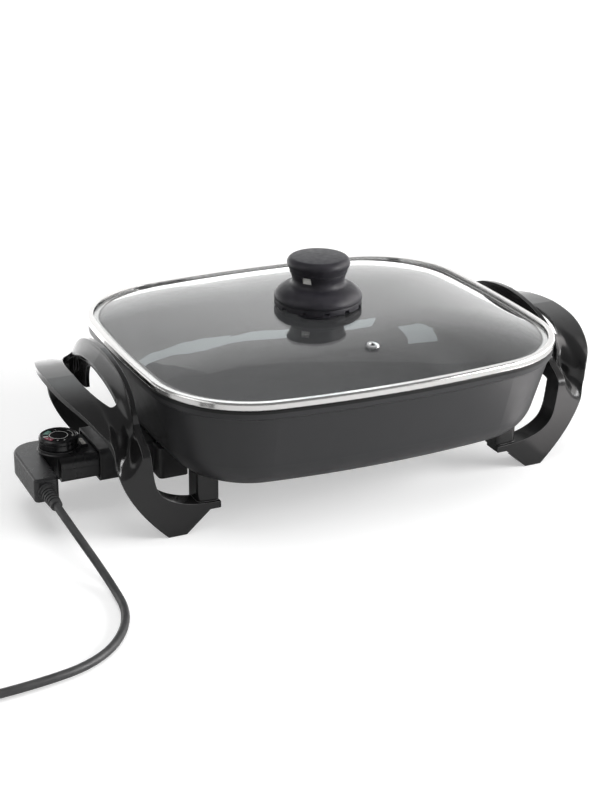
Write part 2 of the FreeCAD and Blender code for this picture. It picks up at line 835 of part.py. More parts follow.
# Loose lid
def lid_rim():
    """A rolled steel channel that holds the edge of the glass."""
    low = rim_low_z
    high = rim_top_z
    sheet = rim_sheet
    return around_rim(section_lines([
        (1.2, high), (rim_top_flange, high), (rim_top_flange, high - sheet), (1.6, high - sheet),
        (sheet, high - 1.7), (sheet, low + 1.3), (1.5, low + sheet), (rim_under_flange, low + sheet),
        (rim_under_flange, low - rim_skirt_drop), (rim_under_flange - sheet, low - rim_skirt_drop),
        (rim_under_flange - sheet, low), (1.1, low), (0, low + 1.2), (0, high - 1.2),
    ]))


def dome_solid(drop):
    """A flat-topped dome over the rim outline, steep by the rim and level in the middle."""
    shares = [0.945, 0.90, 0.84, 0.76, 0.66, 0.54, 0.40, 0.26, 0.13]
    span = shares[0] - shares[-1]
    wires = []
    for share in shares:
        rise = 1 - ((share - shares[-1]) / span) ** dome_power
        wires.append(scaled_outline(share, glass_edge_z - drop + dome_rise * rise))
    return Part.makeLoft(wires, True, False)


def lid_glass():
    edge = inset_prism(glass_edge_inset, glass_low_z, glass_edge_z)
    low = dome_solid(glass_thick)
    under = scaled_outline(0.945, glass_edge_z - glass_thick)
    tool = Part.Face(under).extrude(Vector(0, 0, -5))
    glass = edge.fuse(dome_solid(0)).cut(low).cut(tool)
    below = glass_low_z - 20
    above = dome_top_z + 20
    bore = rod(Vector(0, vent_y, below), Vector(0, vent_y, above), vent_barrel_r + 0.05)
    glass = glass.cut(tilted_at_vent(bore))
    return glass.cut(rod(Vector(0, 0, below), Vector(0, 0, above), knob_screw_r + 0.3))


def dome_height(y):
    """Height of the glass's upper face on the middle line across the lid."""
    line = Part.makeLine(Vector(0, y, glass_edge_z - 1), Vector(0, y, dome_top_z + 5))
    return dome_solid(0).common(line).optimalBoundingBox(False).ZMax


def vent_tilt():
    """Slope of the glass at the vent, in degrees."""
    reach = vent_rim_r
    return math.degrees(math.atan2(dome_height(vent_y + reach) - dome_height(vent_y - reach), 2 * reach))


def tilted_at_vent(shape):
    """Turns a shape from upright to square with the glass at the vent."""
    shape.rotate(Vector(0, vent_y, dome_height(vent_y)), Vector(1, 0, 0), vent_tilt())
    return shape


def vent_eyelet():
    top = dome_height(vent_y)
    barrel_low = top - glass_thick - 1.4
    return tilted_at_vent(turned([
        (vent_bore_r, barrel_low), (vent_bore_r, top + 0.7), (vent_bore_r + 0.6, top + 1.3),
        (vent_rim_r - 1.2, top + 1.2), (vent_rim_r, top + 0.5), (vent_rim_r, top + 0.25),
        (vent_barrel_r, top + 0.25), (vent_barrel_r, barrel_low),
    ], 0, vent_y))


def knob_gasket():
    return turned([(knob_screw_r + 0.3, dome_top_z), (gasket_r, dome_top_z), (gasket_r, knob_base_z),
                   (knob_screw_r + 0.3, knob_base_z)], 0, 0)


def knob_base():
    """Foot, notched heat shield, skirt and waisted neck in one moulding."""
    def at(radius, z):
        return Vector(radius, 0, z)

    bore = knob_insert_r + 0.05
    seam = knob_seam_z
    edge = seam + knob_skirt_edge
    skirt = spline_edge([at(knob_skirt_r, edge), at(knob_skirt_r - 1.5, edge + 3.3),
                         at(knob_skirt_r - 5.3, edge + 6.9), at(knob_neck_r + 6.4, edge + 9.4),
                         at(knob_neck_r + 1.4, knob_neck_z - 0.6), at(knob_neck_r + 0.1, knob_neck_z + 2.3),
                         at(knob_neck_r + 0.4, knob_neck_z + 6.3), at(knob_seat_r, knob_seat_z)])
    corners = [at(knob_seat_r, knob_seat_z), at(bore, knob_seat_z), at(bore, knob_base_z),
               at(knob_foot_r, knob_base_z), at(knob_foot_r, knob_ring_z + 3),
               at(knob_ring_r - 3, knob_ring_z + 3), at(knob_ring_r - 3, knob_ring_z),
               at(knob_ring_r, knob_ring_z), at(knob_ring_r, seam), at(knob_ring_r - 1.4, seam),
               at(knob_ring_r - 1.4, seam + 0.7), at(knob_skirt_r, seam + 0.7), at(knob_skirt_r, edge)]
    lines = [Part.makeLine(first, second) for first, second in zip(corners, corners[1:])]
    body = face_of([skirt] + lines).revolve(Vector(0, 0, 0), Vector(0, 0, 1), 360)
    notches = []
    for i in range(knob_notches):
        angle = 2 * math.pi * (i + 0.5) / knob_notches
        x = knob_ring_r * math.cos(angle)
        y = knob_ring_r * math.sin(angle)
        notches.append(rod(Vector(x, y, knob_ring_z - 1), Vector(x, y, knob_ring_z + 2.6), knob_notch_r))
    body = body.cut(Part.makeCompound(notches))
    return body.cut(in_window(knob_neck_r - 8, knob_seat_r + 2, 0))


def in_window(inner, outer, gap):
    """A block between two radii in the neck's window, smaller than the window by the gap."""
    half = knob_window_half - gap
    high = knob_seat_z - 0.4
    piece = block(inner, outer, -half, half, high - knob_window_height + gap, high - gap)
    piece.rotate(Vector(0, 0, 0), Vector(0, 0, 1), knob_window_turn)
    return piece


def knob_inset():
    """Pale insert in the window of the neck."""
    return in_window(knob_neck_r - 8, knob_neck_r - inset_recess, 0.05)


def knob_cap():
    """Top of the knob: the neck's flare carried on, a round shoulder and a shallow crown."""
    def at(radius, z):
        return Vector(radius, 0, z)

    seat = knob_seat_z
    top = knob_top_z
    edge = at(knob_cap_r - 4.6, top - 1)
    flat = at(3, top)
    shoulder = spline_edge([at(knob_seat_r, seat), at(knob_cap_r - 1, seat + 5), at(knob_cap_r, seat + 9),
                            at(knob_cap_r - 1.2, top - 3.2), edge])
    section = face_of([
        Part.makeLine(at(0, seat), at(knob_seat_r, seat)),
        shoulder,
        Part.Arc(edge, at((knob_cap_r - 2) / 2, top - 0.2), flat).toShape(),
        Part.makeLine(flat, at(0, top)),
        Part.makeLine(at(0, top), at(0, seat)),
    ])
    return section.revolve(Vector(0, 0, 0), Vector(0, 0, 1), 360)


def knob_lower_boss():
    """Thick disc under the glass that the screw pulls up, with a recess for the screw's head."""
    low = lower_boss_z
    bore = knob_screw_r + 0.3
    recess = washer_r + 0.6
    return turned([
        (bore, dome_under_z), (lower_boss_r, dome_under_z), (lower_boss_r, dome_under_z - 5.6),
        (lower_boss_r - 4.6, low), (recess, low), (recess, knob_washer_z), (bore, knob_washer_z),
    ], 0, 0)


def knob_insert():
    """Threaded brass insert moulded into the foot of the knob."""
    low = Vector(0, 0, knob_base_z)
    high = low + Vector(0, 0, knob_insert_length)
    return rod(low, high, knob_insert_r).cut(rod(low, high, knob_screw_r + 0.02))


def knob_washer():
    high = Vector(0, 0, knob_washer_z)
    low = high - Vector(0, 0, washer_thick)
    return rod(low, high, washer_r).cut(rod(low, high, knob_screw_r + 0.3))


def knob_screw():
    seat = Vector(0, 0, knob_washer_z - washer_thick)
    low = seat - Vector(0, 0, knob_screw_head_h)
    return cross_screw(low, seat, seat + Vector(0, 0, knob_screw_length), knob_screw_head_r, knob_screw_r)


# Thermostat probe
def probe_blank(inset):
    """The probe's body as a solid, every face moved inwards by the inset."""
    low = nose_low_z + inset
    high = nose_high_z - inset
    half = nose_half_y - inset
    edge_r = max(shell_edge_r - inset, 0.4)
    nose = block(nose_start_x + inset, nose_end_x - inset, -half, half, low, high)
    nose = nose.makeFillet(max(nose_shoulder_r - inset, 0.8), along_x(nose, high))
    nose = nose.makeFillet(edge_r, along_x(nose, low))
    bar = block(bar_outer_x + inset, bar_inner_x - inset, bar_front_y + inset, bar_rear_y - inset,
                low, high)
    link = block(bar_inner_x - 6, nose_start_x + 6, link_front_y + inset, bar_rear_y - inset, low, high)
    bar = fused([bar, link])
    outer_rear = [edge for edge in upright_edges(bar, low, high)
                  if edge.BoundBox.YMax > 0 and edge.BoundBox.XMin < relief_x]
    bar = bar.makeFillet(bar_corner_r - inset, outer_rear)
    front = [e for e in upright_edges(bar, low, high) if e.BoundBox.YMax < bar_front_y + 2 * inset + 1]
    bar = bar.makeFillet(max(bar_front_corner_r - inset, 0.8), front)
    bar = bar.makeFillet(edge_r, level_edges(bar, high) + level_edges(bar, low))
    hub = rod(Vector(dial_x, 0, low), Vector(dial_x, 0, high), hub_r - inset)
    return fused([nose, bar, hub])


def along_x(shape, z):
    return [e for e in level_edges(shape, z) if e.BoundBox.XLength > 10]


def probe_shell():
    """Closed shell with the stepped pedestal under the dial and the hood round the lens."""
    low = nose_high_z
    top = hub_top_z
    step = (top - low) / 2
    pedestal = turned([(0, low - 1), (hub_r + 0.8, low - 1), (hub_r + 0.8, low + 0.3),
                       (hub_r, low + step - 0.3), (hub_r - 0.5, low + step - 0.3),
                       (hub_r - 0.5, low + step), (hub_r - 0.1, low + step + 0.2),
                       (hub_r - 0.4, top), (0, top)], dial_x, 0)
    hood = block(lens_x - lens_half_x - lens_hood_wall, lens_x + lens_half_x + lens_hood_wall,
                 -lens_half_y - lens_hood_wall, lens_half_y + lens_hood_wall, low - 1, lens_top_z - 1)
    return fused([probe_blank(0), pedestal, hood]).cut(probe_blank(shell_wall))


def probe_openings():
    """Everything that passes through the probe's two shells."""
    inside = Vector(nose_end_x - 6, 0, element_z)
    outside = Vector(nose_end_x + 2, 0, element_z)
    openings = [rod(inside, outside, sensor_r + 0.05)]
    for side in (-1, 1):
        across = Vector(0, side * lead_spread, 0)
        openings.append(rod(inside + across, outside + across, pin_r + sleeve_wall + 0.05))
    openings.append(rod(Vector(dial_x, 0, part_line_z), Vector(dial_x, 0, dial_top_z + 1),
                        shaft_r + shaft_gap))
    openings.append(block(lens_x - lens_half_x - 0.05, lens_x + lens_half_x + 0.05, -lens_half_y - 0.05,
                          lens_half_y + 0.05, part_line_z, lens_top_z + 1))
    openings.append(rod(Vector(relief_x, bar_front_y - 1, relief_z),
                        Vector(relief_x, bar_front_y + 6, relief_z), relief_spigot_r + 0.05))
    return openings


def probe_screw_places():
    half = lead_spread + pin_r + sleeve_wall + probe_screw_head_r + probe_post_wall + 0.2
    return [(nose_end_x - 17, -half), (nose_end_x - 17, half), (relief_x, bar_front_y + 20),
            (bar_inner_x - 7, bar_rear_y - 8.5)]


def probe_posts(low, high, radius):
    return [rod(Vector(x, y, low), Vector(x, y, high), radius) for x, y in probe_screw_places()]


def probe_body(upper):
    shell = fused([probe_shell()] + probe_posts(nose_low_z + 0.5, nose_high_z - 0.5,
                                                probe_screw_head_r + probe_post_wall))
    far = 80.0
    cover = block(bar_outer_x - far, nose_end_x + far, bar_front_y - far, bar_rear_y + far,
                  part_line_z, far * 2)
    body = shell.common(cover) if upper else shell.cut(cover)
    body = body.cut(Part.makeCompound(probe_openings()))
    seat = nose_low_z + shell_wall
    shanks = probe_posts(nose_low_z - 1, nose_high_z - 3.0, probe_screw_r + 0.05)
    heads = probe_posts(nose_low_z - 1, seat, probe_screw_head_r + 0.2)
    return body.cut(Part.makeCompound(shanks)).cut(Part.makeCompound(heads))


def probe_screws():
    screws = []
    for x, y in probe_screw_places():
        low = Vector(x, y, nose_low_z + 0.3)
        seat = Vector(x, y, nose_low_z + shell_wall)
        tip = Vector(x, y, nose_high_z - 4.0)
        screws.append(cross_screw(low, seat, tip, probe_screw_head_r, probe_screw_r))
    return Part.makeCompound(screws)


def dial():
    """Low round dial with a groove round its wall, open below, on its shaft."""
    low = dial_top_z - dial_height
    top = dial_top_z
    groove = low + 0.5 * dial_height
    return turned([(shaft_r + 0.05, low), (shaft_r + 3, low), (shaft_r + 3, top - 3), (dial_r - 3, top - 3),
                   (dial_r - 3, low), (dial_r - 0.3, low), (dial_r, low + 0.3), (dial_r, groove),
                   (dial_r - 0.6, groove + 0.2), (dial_r - 0.6, groove + 0.6), (dial_r, groove + 0.8),
                   (dial_r, top - 1.2), (dial_r - 1.2, top), (dial_r - 2.2, top), (dial_r - 2.6, top - 0.5),
                   (0, top - 0.5), (0, top - 1.9), (shaft_r + 0.05, top - 1.9)], dial_x, 0)


def dial_shaft():
    low = Vector(dial_x, 0, part_line_z - 2)
    shaft = rod(low, Vector(dial_x, 0, dial_top_z - 1.9), shaft_r)
    collar = rod(low, low + Vector(0, 0, 3), shaft_r + 3)
    return shaft.fuse(collar).removeSplitter()


def sensor_rod():
    start = Vector(nose_end_x - 26, 0, element_z)
    end = Vector(lead_end_x + sensor_reach, 0, element_z)
    tube = rod(start, end, sensor_r)
    return tube.makeFillet(2.2, [tube.Edges[i] for i in end_circle(tube, end.x)])


def contact_sleeves():
    sleeves = []
    for side in (-1, 1):
        start = Vector(nose_end_x, side * lead_spread, element_z)
        end = start - Vector(sleeve_length, 0, 0)
        tube = rod(start, end, pin_r + sleeve_wall).cut(rod(start, end, pin_r + pin_seat_gap))
        sleeves.append(tube)
    return Part.makeCompound(sleeves)


def thermostat():
    """Bracket and two leaf springs, stood beside the dial's shaft."""
    x = dial_x - 11.5
    low = nose_low_z + shell_wall
    solids = [block(x - 1, x + 1, -8, 15, low, low + 11)]
    for level in (0, 1):
        z = low + 4.5 + 3.0 * level
        solids.append(block(x + 1, x + 3.6, -7, 13, z, z + 0.8))
    return Part.makeCompound(solids)


def pilot_lens():
    high = lens_top_z
    lens = block(lens_x - lens_half_x, lens_x + lens_half_x, -lens_half_y, lens_half_y,
                 nose_high_z - 4, high)
    lens = lens.makeFillet(1.2, level_edges(lens, high))
    pocket = block(lens_x - lens_half_x + 1.2, lens_x + lens_half_x - 1.2,
                   -lens_half_y + 1.2, lens_half_y - 1.2, nose_high_z - 5, high - 1.8)
    return lens.cut(pocket)


def neon_lamp():
    z = nose_high_z - 1.0
    start = Vector(lens_x, -lens_half_y + 1.6, z)
    lamp = rod(start, Vector(lens_x, lens_half_y - 3.4, z), lens_half_x - 1.3)
    return lamp


# Cord and plug
def relief_start():
    return Vector(relief_x, bar_front_y, relief_z)


def relief_end():
    return relief_start() + Vector(relief_swing, -relief_length, -relief_dip)


def strain_relief():
    """Ribbed, tapered rubber sleeve that droops with the cord, with a spigot into the probe's body."""
    start = relief_start()
    end = relief_end()
    out = Vector(0, -1, 0)
    way = (end - start).normalize()
    length = (end - start).Length
    flange = rod(start, start + out * 2.5, relief_root_r + 1.0)
    body = cone(start + way * 1.5, end, relief_root_r, relief_tip_r)
    spigot = rod(start - out * (shell_wall + 1.6), start + out, relief_spigot_r)
    grooves = []
    pitch = (length - 6.5) / relief_ribs
    for i in range(relief_ribs):
        along = 4.5 + pitch * i
        centre = start + way * along
        radius = relief_root_r + (relief_tip_r - relief_root_r) * along / length
        ring = rod(centre, centre + way * 1.5, radius + 1)
        grooves.append(ring.cut(rod(centre, centre + way * 1.5, radius - 1.2)))
    return fused([body, flange, spigot]).cut(Part.makeCompound(grooves))


def rounded_route(points):
    """Straight runs joined by tangent arcs; prints the radius of each bend."""
    edges = []
    radii = []
    last = points[0]
    for before, corner, after in zip(points, points[1:], points[2:]):
        back = before - corner
        ahead = after - corner
        trim = 0.45 * min(back.Length, ahead.Length)
        half_turn = (math.pi - back.getAngle(ahead)) / 2
        radius = trim / math.tan(half_turn)
        back.normalize()
        ahead.normalize()
        start = corner + back * trim
        end = corner + ahead * trim
        inner = (back + ahead).normalize()
        middle = corner + inner * (radius / math.cos(half_turn) - radius)
        edges.append(Part.LineSegment(last, start).toShape())
        edges.append(Part.Arc(start, middle, end).toShape())
        radii.append(round(radius, 1))
        last = end
    edges.append(Part.LineSegment(last, points[-1]).toShape())
    print("bend radii", radii)
    return Part.Wire(edges)


def tube_along(wire, start, way):
    profile = circle_wire(start, way, cord_d / 2)
    tube = wire.makePipeShell([profile], True, False)
    ideal = math.pi * (cord_d / 2) ** 2 * wire.Length
    print("cord length", round(wire.Length, 1),
          "volume to section times length", round(tube.Volume / ideal, 4))
    return tube


def coil_low_z():
    """Height of the lower layer, which lies on the tie's band."""
    return cord_d / 2 + tie_thick + tie_gap + 0.1


def cord_route():
    """Out of the relief, down to the table and round to the coil."""
    floor = cord_d / 2
    end = relief_end()
    way = (end - relief_start()).normalize()
    return [
        end,
        end + way * 30,
        Vector(relief_x + 20, -160, floor),
        Vector(relief_x + 16, -226, floor),
        Vector(-310, -276, floor),
        Vector(-376, coil_front_y, coil_low_z()),
        Vector(coil_x, coil_front_y, coil_low_z()),
    ]


def cord():
    points = cord_route()
    return tube_along(rounded_route(points), points[0], points[1] - points[0])


def coil_edges():
    """Half turns that wind in on the floor, climb one layer, and wind out above."""
    low = coil_low_z()
    high = low + coil_pitch
    step = coil_pitch / 2
    radii = [coil_entry_r, coil_entry_r - step, coil_entry_r - 2 * step, coil_entry_r - step, coil_entry_r,
             coil_entry_r + step]
    heights = [(low, low), (low, low), (low, high), (high, high), (high, high), (high, high)]
    y = coil_front_y
    edges = []
    for i, (radius, (z0, z1)) in enumerate(zip(radii, heights)):
        side = -1 if i % 2 == 0 else 1
        rear = -side
        centre_y = y + rear * radius
        angles = [math.pi * k / 8 for k in range(9)]
        points = []
        tangents = []
        for angle in angles:
            across = math.sin(angle)
            along = math.cos(angle)
            z = z0 + (z1 - z0) * (1 - along) / 2
            points.append(Vector(coil_x + side * radius * across, centre_y - rear * radius * along, z))
            tangents.append(Vector(side * radius * along, rear * radius * across, (z1 - z0) * across / 2))
        if z0 == z1:
            edges.append(Part.Arc(points[0], points[4], points[8]).toShape())
        else:
            curve = Part.BSplineCurve()
            curve.interpolate(Points=points, Tangents=tangents, TangentFlags=[True] * 9, Parameters=angles)
            edges.append(curve.toShape())
        y = y + rear * 2 * radius
    return edges, y, high


def cord_coil():
    edges, end_y, end_z = coil_edges()
    gap = min(edges[i].distToShape(edges[j])[0]
              for i in range(len(edges)) for j in range(i + 2, len(edges)))
    print("least gap between turns", round(gap - cord_d, 2))
    start = Vector(coil_x, coil_front_y, coil_low_z())
    return tube_along(Part.Wire(edges), start, Vector(-1, 0, 0))


def tail_route():
    edges, end_y, end_z = coil_edges()
    return [
        Vector(coil_x, end_y, end_z),
        Vector(coil_x - 38, end_y, end_z),
        Vector(plug_end_x + 36, plug_y, plug_body_r),
        Vector(plug_end_x, plug_y, plug_body_r),
    ]


def cord_tail():
    points = tail_route()
    return tube_along(rounded_route(points), points[0], points[1] - points[0])


def coil_tie():
    """Flat band round all the turns on the rear side of the coil."""
    edges, end_y, end_z = coil_edges()
    rear = coil_front_y + 2 * coil_entry_r
    low_y = rear - coil_pitch - cord_d / 2 - tie_gap
    high_y = rear + cord_d / 2 + tie_gap
    high_z = end_z + cord_d / 2 + tie_gap
    x0 = coil_x - tie_width / 2
    x1 = coil_x + tie_width / 2
    low_z = coil_low_z() - cord_d / 2 - tie_gap
    outside = block(x0, x1, low_y - tie_thick, high_y + tie_thick, low_z - tie_thick, high_z + tie_thick)
    inside = block(x0 - 1, x1 + 1, low_y, high_y, low_z, high_z)
    return outside.cut(inside)


def plug_axis(along):
    return Vector(plug_end_x - along, plug_y, plug_body_r)


def plug_body():
    relief = cone(plug_axis(0), plug_axis(plug_relief_length), plug_relief_tip_r, plug_relief_root_r)
    grooves = []
    for i in range(5):
        along = 4.0 + 4.2 * i
        radius = plug_relief_tip_r + (plug_relief_root_r - plug_relief_tip_r) * along / plug_relief_length
        ring = rod(plug_axis(along), plug_axis(along + 1.6), radius + 1.5)
        grooves.append(ring.cut(rod(plug_axis(along), plug_axis(along + 1.6), radius - 0.9)))
    relief = relief.cut(Part.makeCompound(grooves))
    shoulder = cone(plug_axis(plug_relief_length - 2), plug_axis(plug_relief_length + 9),
                    plug_relief_root_r + 1.5, plug_body_r - 0.5)
    body = rod(plug_axis(plug_relief_length + 9), plug_axis(plug_relief_length + plug_body_length),
               plug_body_r)
    body = body.makeFillet(1.5, [e for e in body.Edges if e.BoundBox.XLength < 0.01])
    body = fused([relief, shoulder, body])
    end = plug_relief_length + plug_body_length
    for side in (-1, 1):
        y = plug_y + side * plug_body_r
        x = plug_axis(end).x
        body = body.cut(block(x - 1, x + 22, y - 2.2, y + 2.2, plug_body_r - 3.0, plug_body_r + 3.0))
        across = Vector(0, 0, side * plug_pin_spread)
        body = body.cut(rod(plug_axis(end + 1) + across, plug_axis(end - 14) + across, plug_pin_r + 0.02))
    return body


def plug_pins():
    end = plug_relief_length + plug_body_length
    pins = []
    for side in (-1, 1):
        across = Vector(0, 0, side * plug_pin_spread)
        pin = rod(plug_axis(end - 14) + across, plug_axis(end + plug_pin_length) + across, plug_pin_r)
        tip = [pin.Edges[i] for i in end_circle(pin, plug_axis(end + plug_pin_length).x)]
        pins.append(pin.makeFillet(1.4, tip))
    return Part.makeCompound(pins)


def earth_contacts():
    """Two side springs let into the plug's flanks."""
    x = plug_axis(plug_relief_length + plug_body_length).x
    clips = []
    for side in (-1, 1):
        inner = plug_y + side * (plug_body_r - 2.2)
        outer = plug_y + side * (plug_body_r - 0.9)
        clips.append(block(x + 0.5, x + 21.5, min(inner, outer), max(inner, outer), plug_body_r - 2.6,
                           plug_body_r + 2.6))
    return Part.makeCompound(clips)


def build(name, shape):
    shape.translate(Vector(frame_x, 0, 0))
    shape.exportStep("parts/" + name + ".step")
    box = shape.optimalBoundingBox(False)
    print(name, len(shape.Solids), round(shape.Volume, 1), shape.isValid(),
          [round(v, 1) for v in (box.XMin, box.XMax, box.YMin, box.YMax, box.ZMin, box.ZMax)])


os.makedirs("parts", exist_ok=True)
right = handle()
build("pan_body", pan_body())
build("heating_element", heating_element())
build("terminal_pins", terminal_pins())
build("pin_insulators", pin_insulators())
build("terminal_housing", terminal_housing())
build("housing_screws", housing_screws())
build("right_handle", right.copy())
build("left_handle", mirrored(right))
build("handle_screws", handle_screws())
build("lid_rim", lid_rim())
build("lid_glass", lid_glass())
build("vent_eyelet", vent_eyelet())
build("knob_gasket", knob_gasket())
build("knob_base", knob_base())
build("knob_cap", knob_cap())
build("knob_inset", knob_inset())
build("knob_lower_boss", knob_lower_boss())
build("knob_insert", knob_insert())
build("knob_washer", knob_washer())
build("knob_screw", knob_screw())
build("probe_body_upper", probe_body(True))
build("probe_body_lower", probe_body(False))
build("probe_screws", probe_screws())
build("dial", dial())
build("dial_shaft", dial_shaft())
build("sensor_rod", sensor_rod())
build("contact_sleeves", contact_sleeves())
build("thermostat", thermostat())
build("pilot_lens", pilot_lens())
build("neon_lamp", neon_lamp())
build("strain_relief", strain_relief())
build("cord", cord())
build("cord_coil", cord_coil())
build("cord_tail", cord_tail())
build("coil_tie", coil_tie())
build("plug_body", plug_body())
build("plug_pins", plug_pins())
build("earth_contacts", earth_contacts())
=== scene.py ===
import math

import bpy
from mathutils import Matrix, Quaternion, Vector


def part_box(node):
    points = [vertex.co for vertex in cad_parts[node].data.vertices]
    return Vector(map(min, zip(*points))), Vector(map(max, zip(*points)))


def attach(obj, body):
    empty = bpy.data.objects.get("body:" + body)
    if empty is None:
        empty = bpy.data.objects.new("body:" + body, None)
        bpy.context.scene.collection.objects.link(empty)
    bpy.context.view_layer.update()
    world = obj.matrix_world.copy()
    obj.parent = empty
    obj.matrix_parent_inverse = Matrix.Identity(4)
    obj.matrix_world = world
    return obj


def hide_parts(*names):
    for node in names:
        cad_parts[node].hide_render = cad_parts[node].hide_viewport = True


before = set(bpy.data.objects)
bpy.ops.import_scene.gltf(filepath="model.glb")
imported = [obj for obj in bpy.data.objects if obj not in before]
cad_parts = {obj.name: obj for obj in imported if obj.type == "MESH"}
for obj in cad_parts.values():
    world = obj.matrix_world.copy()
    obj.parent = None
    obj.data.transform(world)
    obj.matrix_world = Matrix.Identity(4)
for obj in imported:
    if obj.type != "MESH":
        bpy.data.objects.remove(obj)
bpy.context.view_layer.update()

# The view
# A long lens stands in front of the pan, a little to the probe's side and above the lid, so that the
# knob, the inside under the glass, both handles and the probe all show.
look_at = Vector((0.0616, 0.1323, 0))
view_azimuth = math.radians(-25.58)
view_elevation = math.radians(22.72)
view_roll = math.radians(0.78)
view_distance = 1.681
lens_px = 1591
image_height_px = 800
sensor_mm = 36
nearest_seen = 0.05
farthest_seen = 60

towards_camera = Vector((math.sin(view_azimuth) * math.cos(view_elevation),
                         -math.cos(view_azimuth) * math.cos(view_elevation),
                         math.sin(view_elevation)))
view_lens = bpy.data.cameras.new("camera")
view_lens.sensor_width = sensor_mm
view_lens.lens = lens_px / image_height_px * sensor_mm
view_lens.clip_start = nearest_seen
view_lens.clip_end = farthest_seen
camera = bpy.data.objects.new("camera", view_lens)
bpy.context.scene.collection.objects.link(camera)
camera.location = look_at + towards_camera * view_distance
camera.rotation_mode = "QUATERNION"
level_view = (-towards_camera).to_track_quat("-Z", "Y")
camera.rotation_quaternion = level_view @ Quaternion((0, 0, 1), view_roll)
bpy.context.scene.camera = camera
bpy.context.scene.view_settings.view_transform = "Standard"

# The floor and the light
# A white table in a white room, lit by a large soft lamp at the right and a weaker one overhead. What the
# glossy faces mirror is set apart: the right-hand lamp, a dim room, and pale cards that nothing else sees.
floor_half = 12
floor_z = -0.0003
floor_grey = 0.66
floor_glow = 0.42
far_floor_glow = 0.75
glow_near_r = 0.5
glow_far_r = 2.5


def add_node(finish, kind, **inputs):
    """Adds one node to a finish. Each input is a value, or the output of another node."""
    node = finish.node_tree.nodes.new("ShaderNode" + kind)
    for name, value in inputs.items():
        socket = node.inputs[name.replace("_", " ")]
        if isinstance(value, bpy.types.NodeSocket):
            finish.node_tree.links.new(value, socket)
        else:
            socket.default_value = value
    return node


def mesh_piece(name, points, faces):
    """New mesh object from its corners and faces."""
    mesh = bpy.data.meshes.new(name)
    mesh.from_pydata([tuple(point) for point in points], [], faces)
    mesh.update()
    piece = bpy.data.objects.new(name, mesh)
    bpy.context.scene.collection.objects.link(piece)
    return piece


def join(finish, kind, operation, first, second):
    """Maths node on two outputs."""
    node = finish.node_tree.nodes.new("ShaderNode" + kind)
    node.operation = operation
    finish.node_tree.links.new(first, node.inputs[0])
    finish.node_tree.links.new(second, node.inputs[1])
    return node


def ray_share(holder, *kinds):
    """1 for a ray of one of these kinds, and 0 for any other ray."""
    rays = add_node(holder, "LightPath")
    share = rays.outputs[kinds[0]]
    for kind in kinds[1:]:
        share = join(holder, "Math", "MAXIMUM", share, rays.outputs[kind]).outputs[0]
    return share


floor_corners = [(-1, -1), (1, -1), (1, 1), (-1, 1)]
floor = mesh_piece("floor", [(x * floor_half, y * floor_half, floor_z) for x, y in floor_corners],
                   [(0, 1, 2, 3)])
# Seen straight or through the glass, the table also glows a little, and more far from the pan.
paper = bpy.data.materials.new("white_table")
paper.use_nodes = True
paper.node_tree.nodes.clear()
from_middle = paper.node_tree.nodes.new("ShaderNodeVectorMath")
from_middle.operation = "LENGTH"
paper.node_tree.links.new(add_node(paper, "TexCoord").outputs["Object"], from_middle.inputs[0])
glow_level = add_node(paper, "MapRange", Value=from_middle.outputs["Value"], From_Min=glow_near_r,
                      From_Max=glow_far_r, To_Min=floor_glow, To_Max=far_floor_glow)
glow = join(paper, "Math", "MULTIPLY", ray_share(paper, "Is Camera Ray", "Is Transmission Ray"),
            glow_level.outputs["Result"])
lit = add_node(paper, "BsdfDiffuse", Color=(floor_grey, floor_grey, floor_grey, 1))
own = add_node(paper, "Emission", Color=(1, 1, 1, 1), Strength=glow.outputs[0])
table_top = paper.node_tree.nodes.new("ShaderNodeAddShader")
paper.node_tree.links.new(lit.outputs[0], table_top.inputs[0])
paper.node_tree.links.new(own.outputs[0], table_top.inputs[1])
add_node(paper, "OutputMaterial", Surface=table_top.outputs[0])
floor.data.materials.append(paper)

room = bpy.data.worlds.new("white_room")
room.use_nodes = True
bpy.context.scene.world = room
room_light = 0.42
room_in_mirror = 0.22
backdrop = room.node_tree.nodes["Background"]
backdrop.inputs["Color"].default_value = (1, 1, 1, 1)
dim = add_node(room, "MapRange", Value=ray_share(room, "Is Glossy Ray"), To_Min=room_light,
               To_Max=room_in_mirror)
strength = add_node(room, "MapRange", Value=ray_share(room, "Is Camera Ray", "Is Transmission Ray"),
                    To_Min=dim.outputs["Result"], To_Max=1.0)
room.node_tree.links.new(strength.outputs["Result"], backdrop.inputs["Strength"])

lamps_aim_at = Vector((0, 0, 0.1))


def soft_lamp(name, place, size, watts, mirrored):
    """Lamp that faces the middle of the pan. Glossy faces mirror it or not."""
    light = bpy.data.lights.new(name, "AREA")
    light.shape = "RECTANGLE"
    light.size = size[0]
    light.size_y = size[1]
    light.energy = watts
    lamp = bpy.data.objects.new(name, light)
    bpy.context.scene.collection.objects.link(lamp)
    lamp.location = place
    aim = lamps_aim_at - Vector(place)
    lamp.rotation_mode = "QUATERNION"
    lamp.rotation_quaternion = aim.to_track_quat("-Z", "Y")
    lamp.visible_camera = False
    lamp.visible_glossy = mirrored
    lamp.visible_transmission = False


soft_lamp("lamp_right", (2.0, -1.2, 0.85), (1.6, 1.2), 85, True)
soft_lamp("lamp_above", (-0.3, -0.2, 2.2), (1.8, 1.4), 22, False)


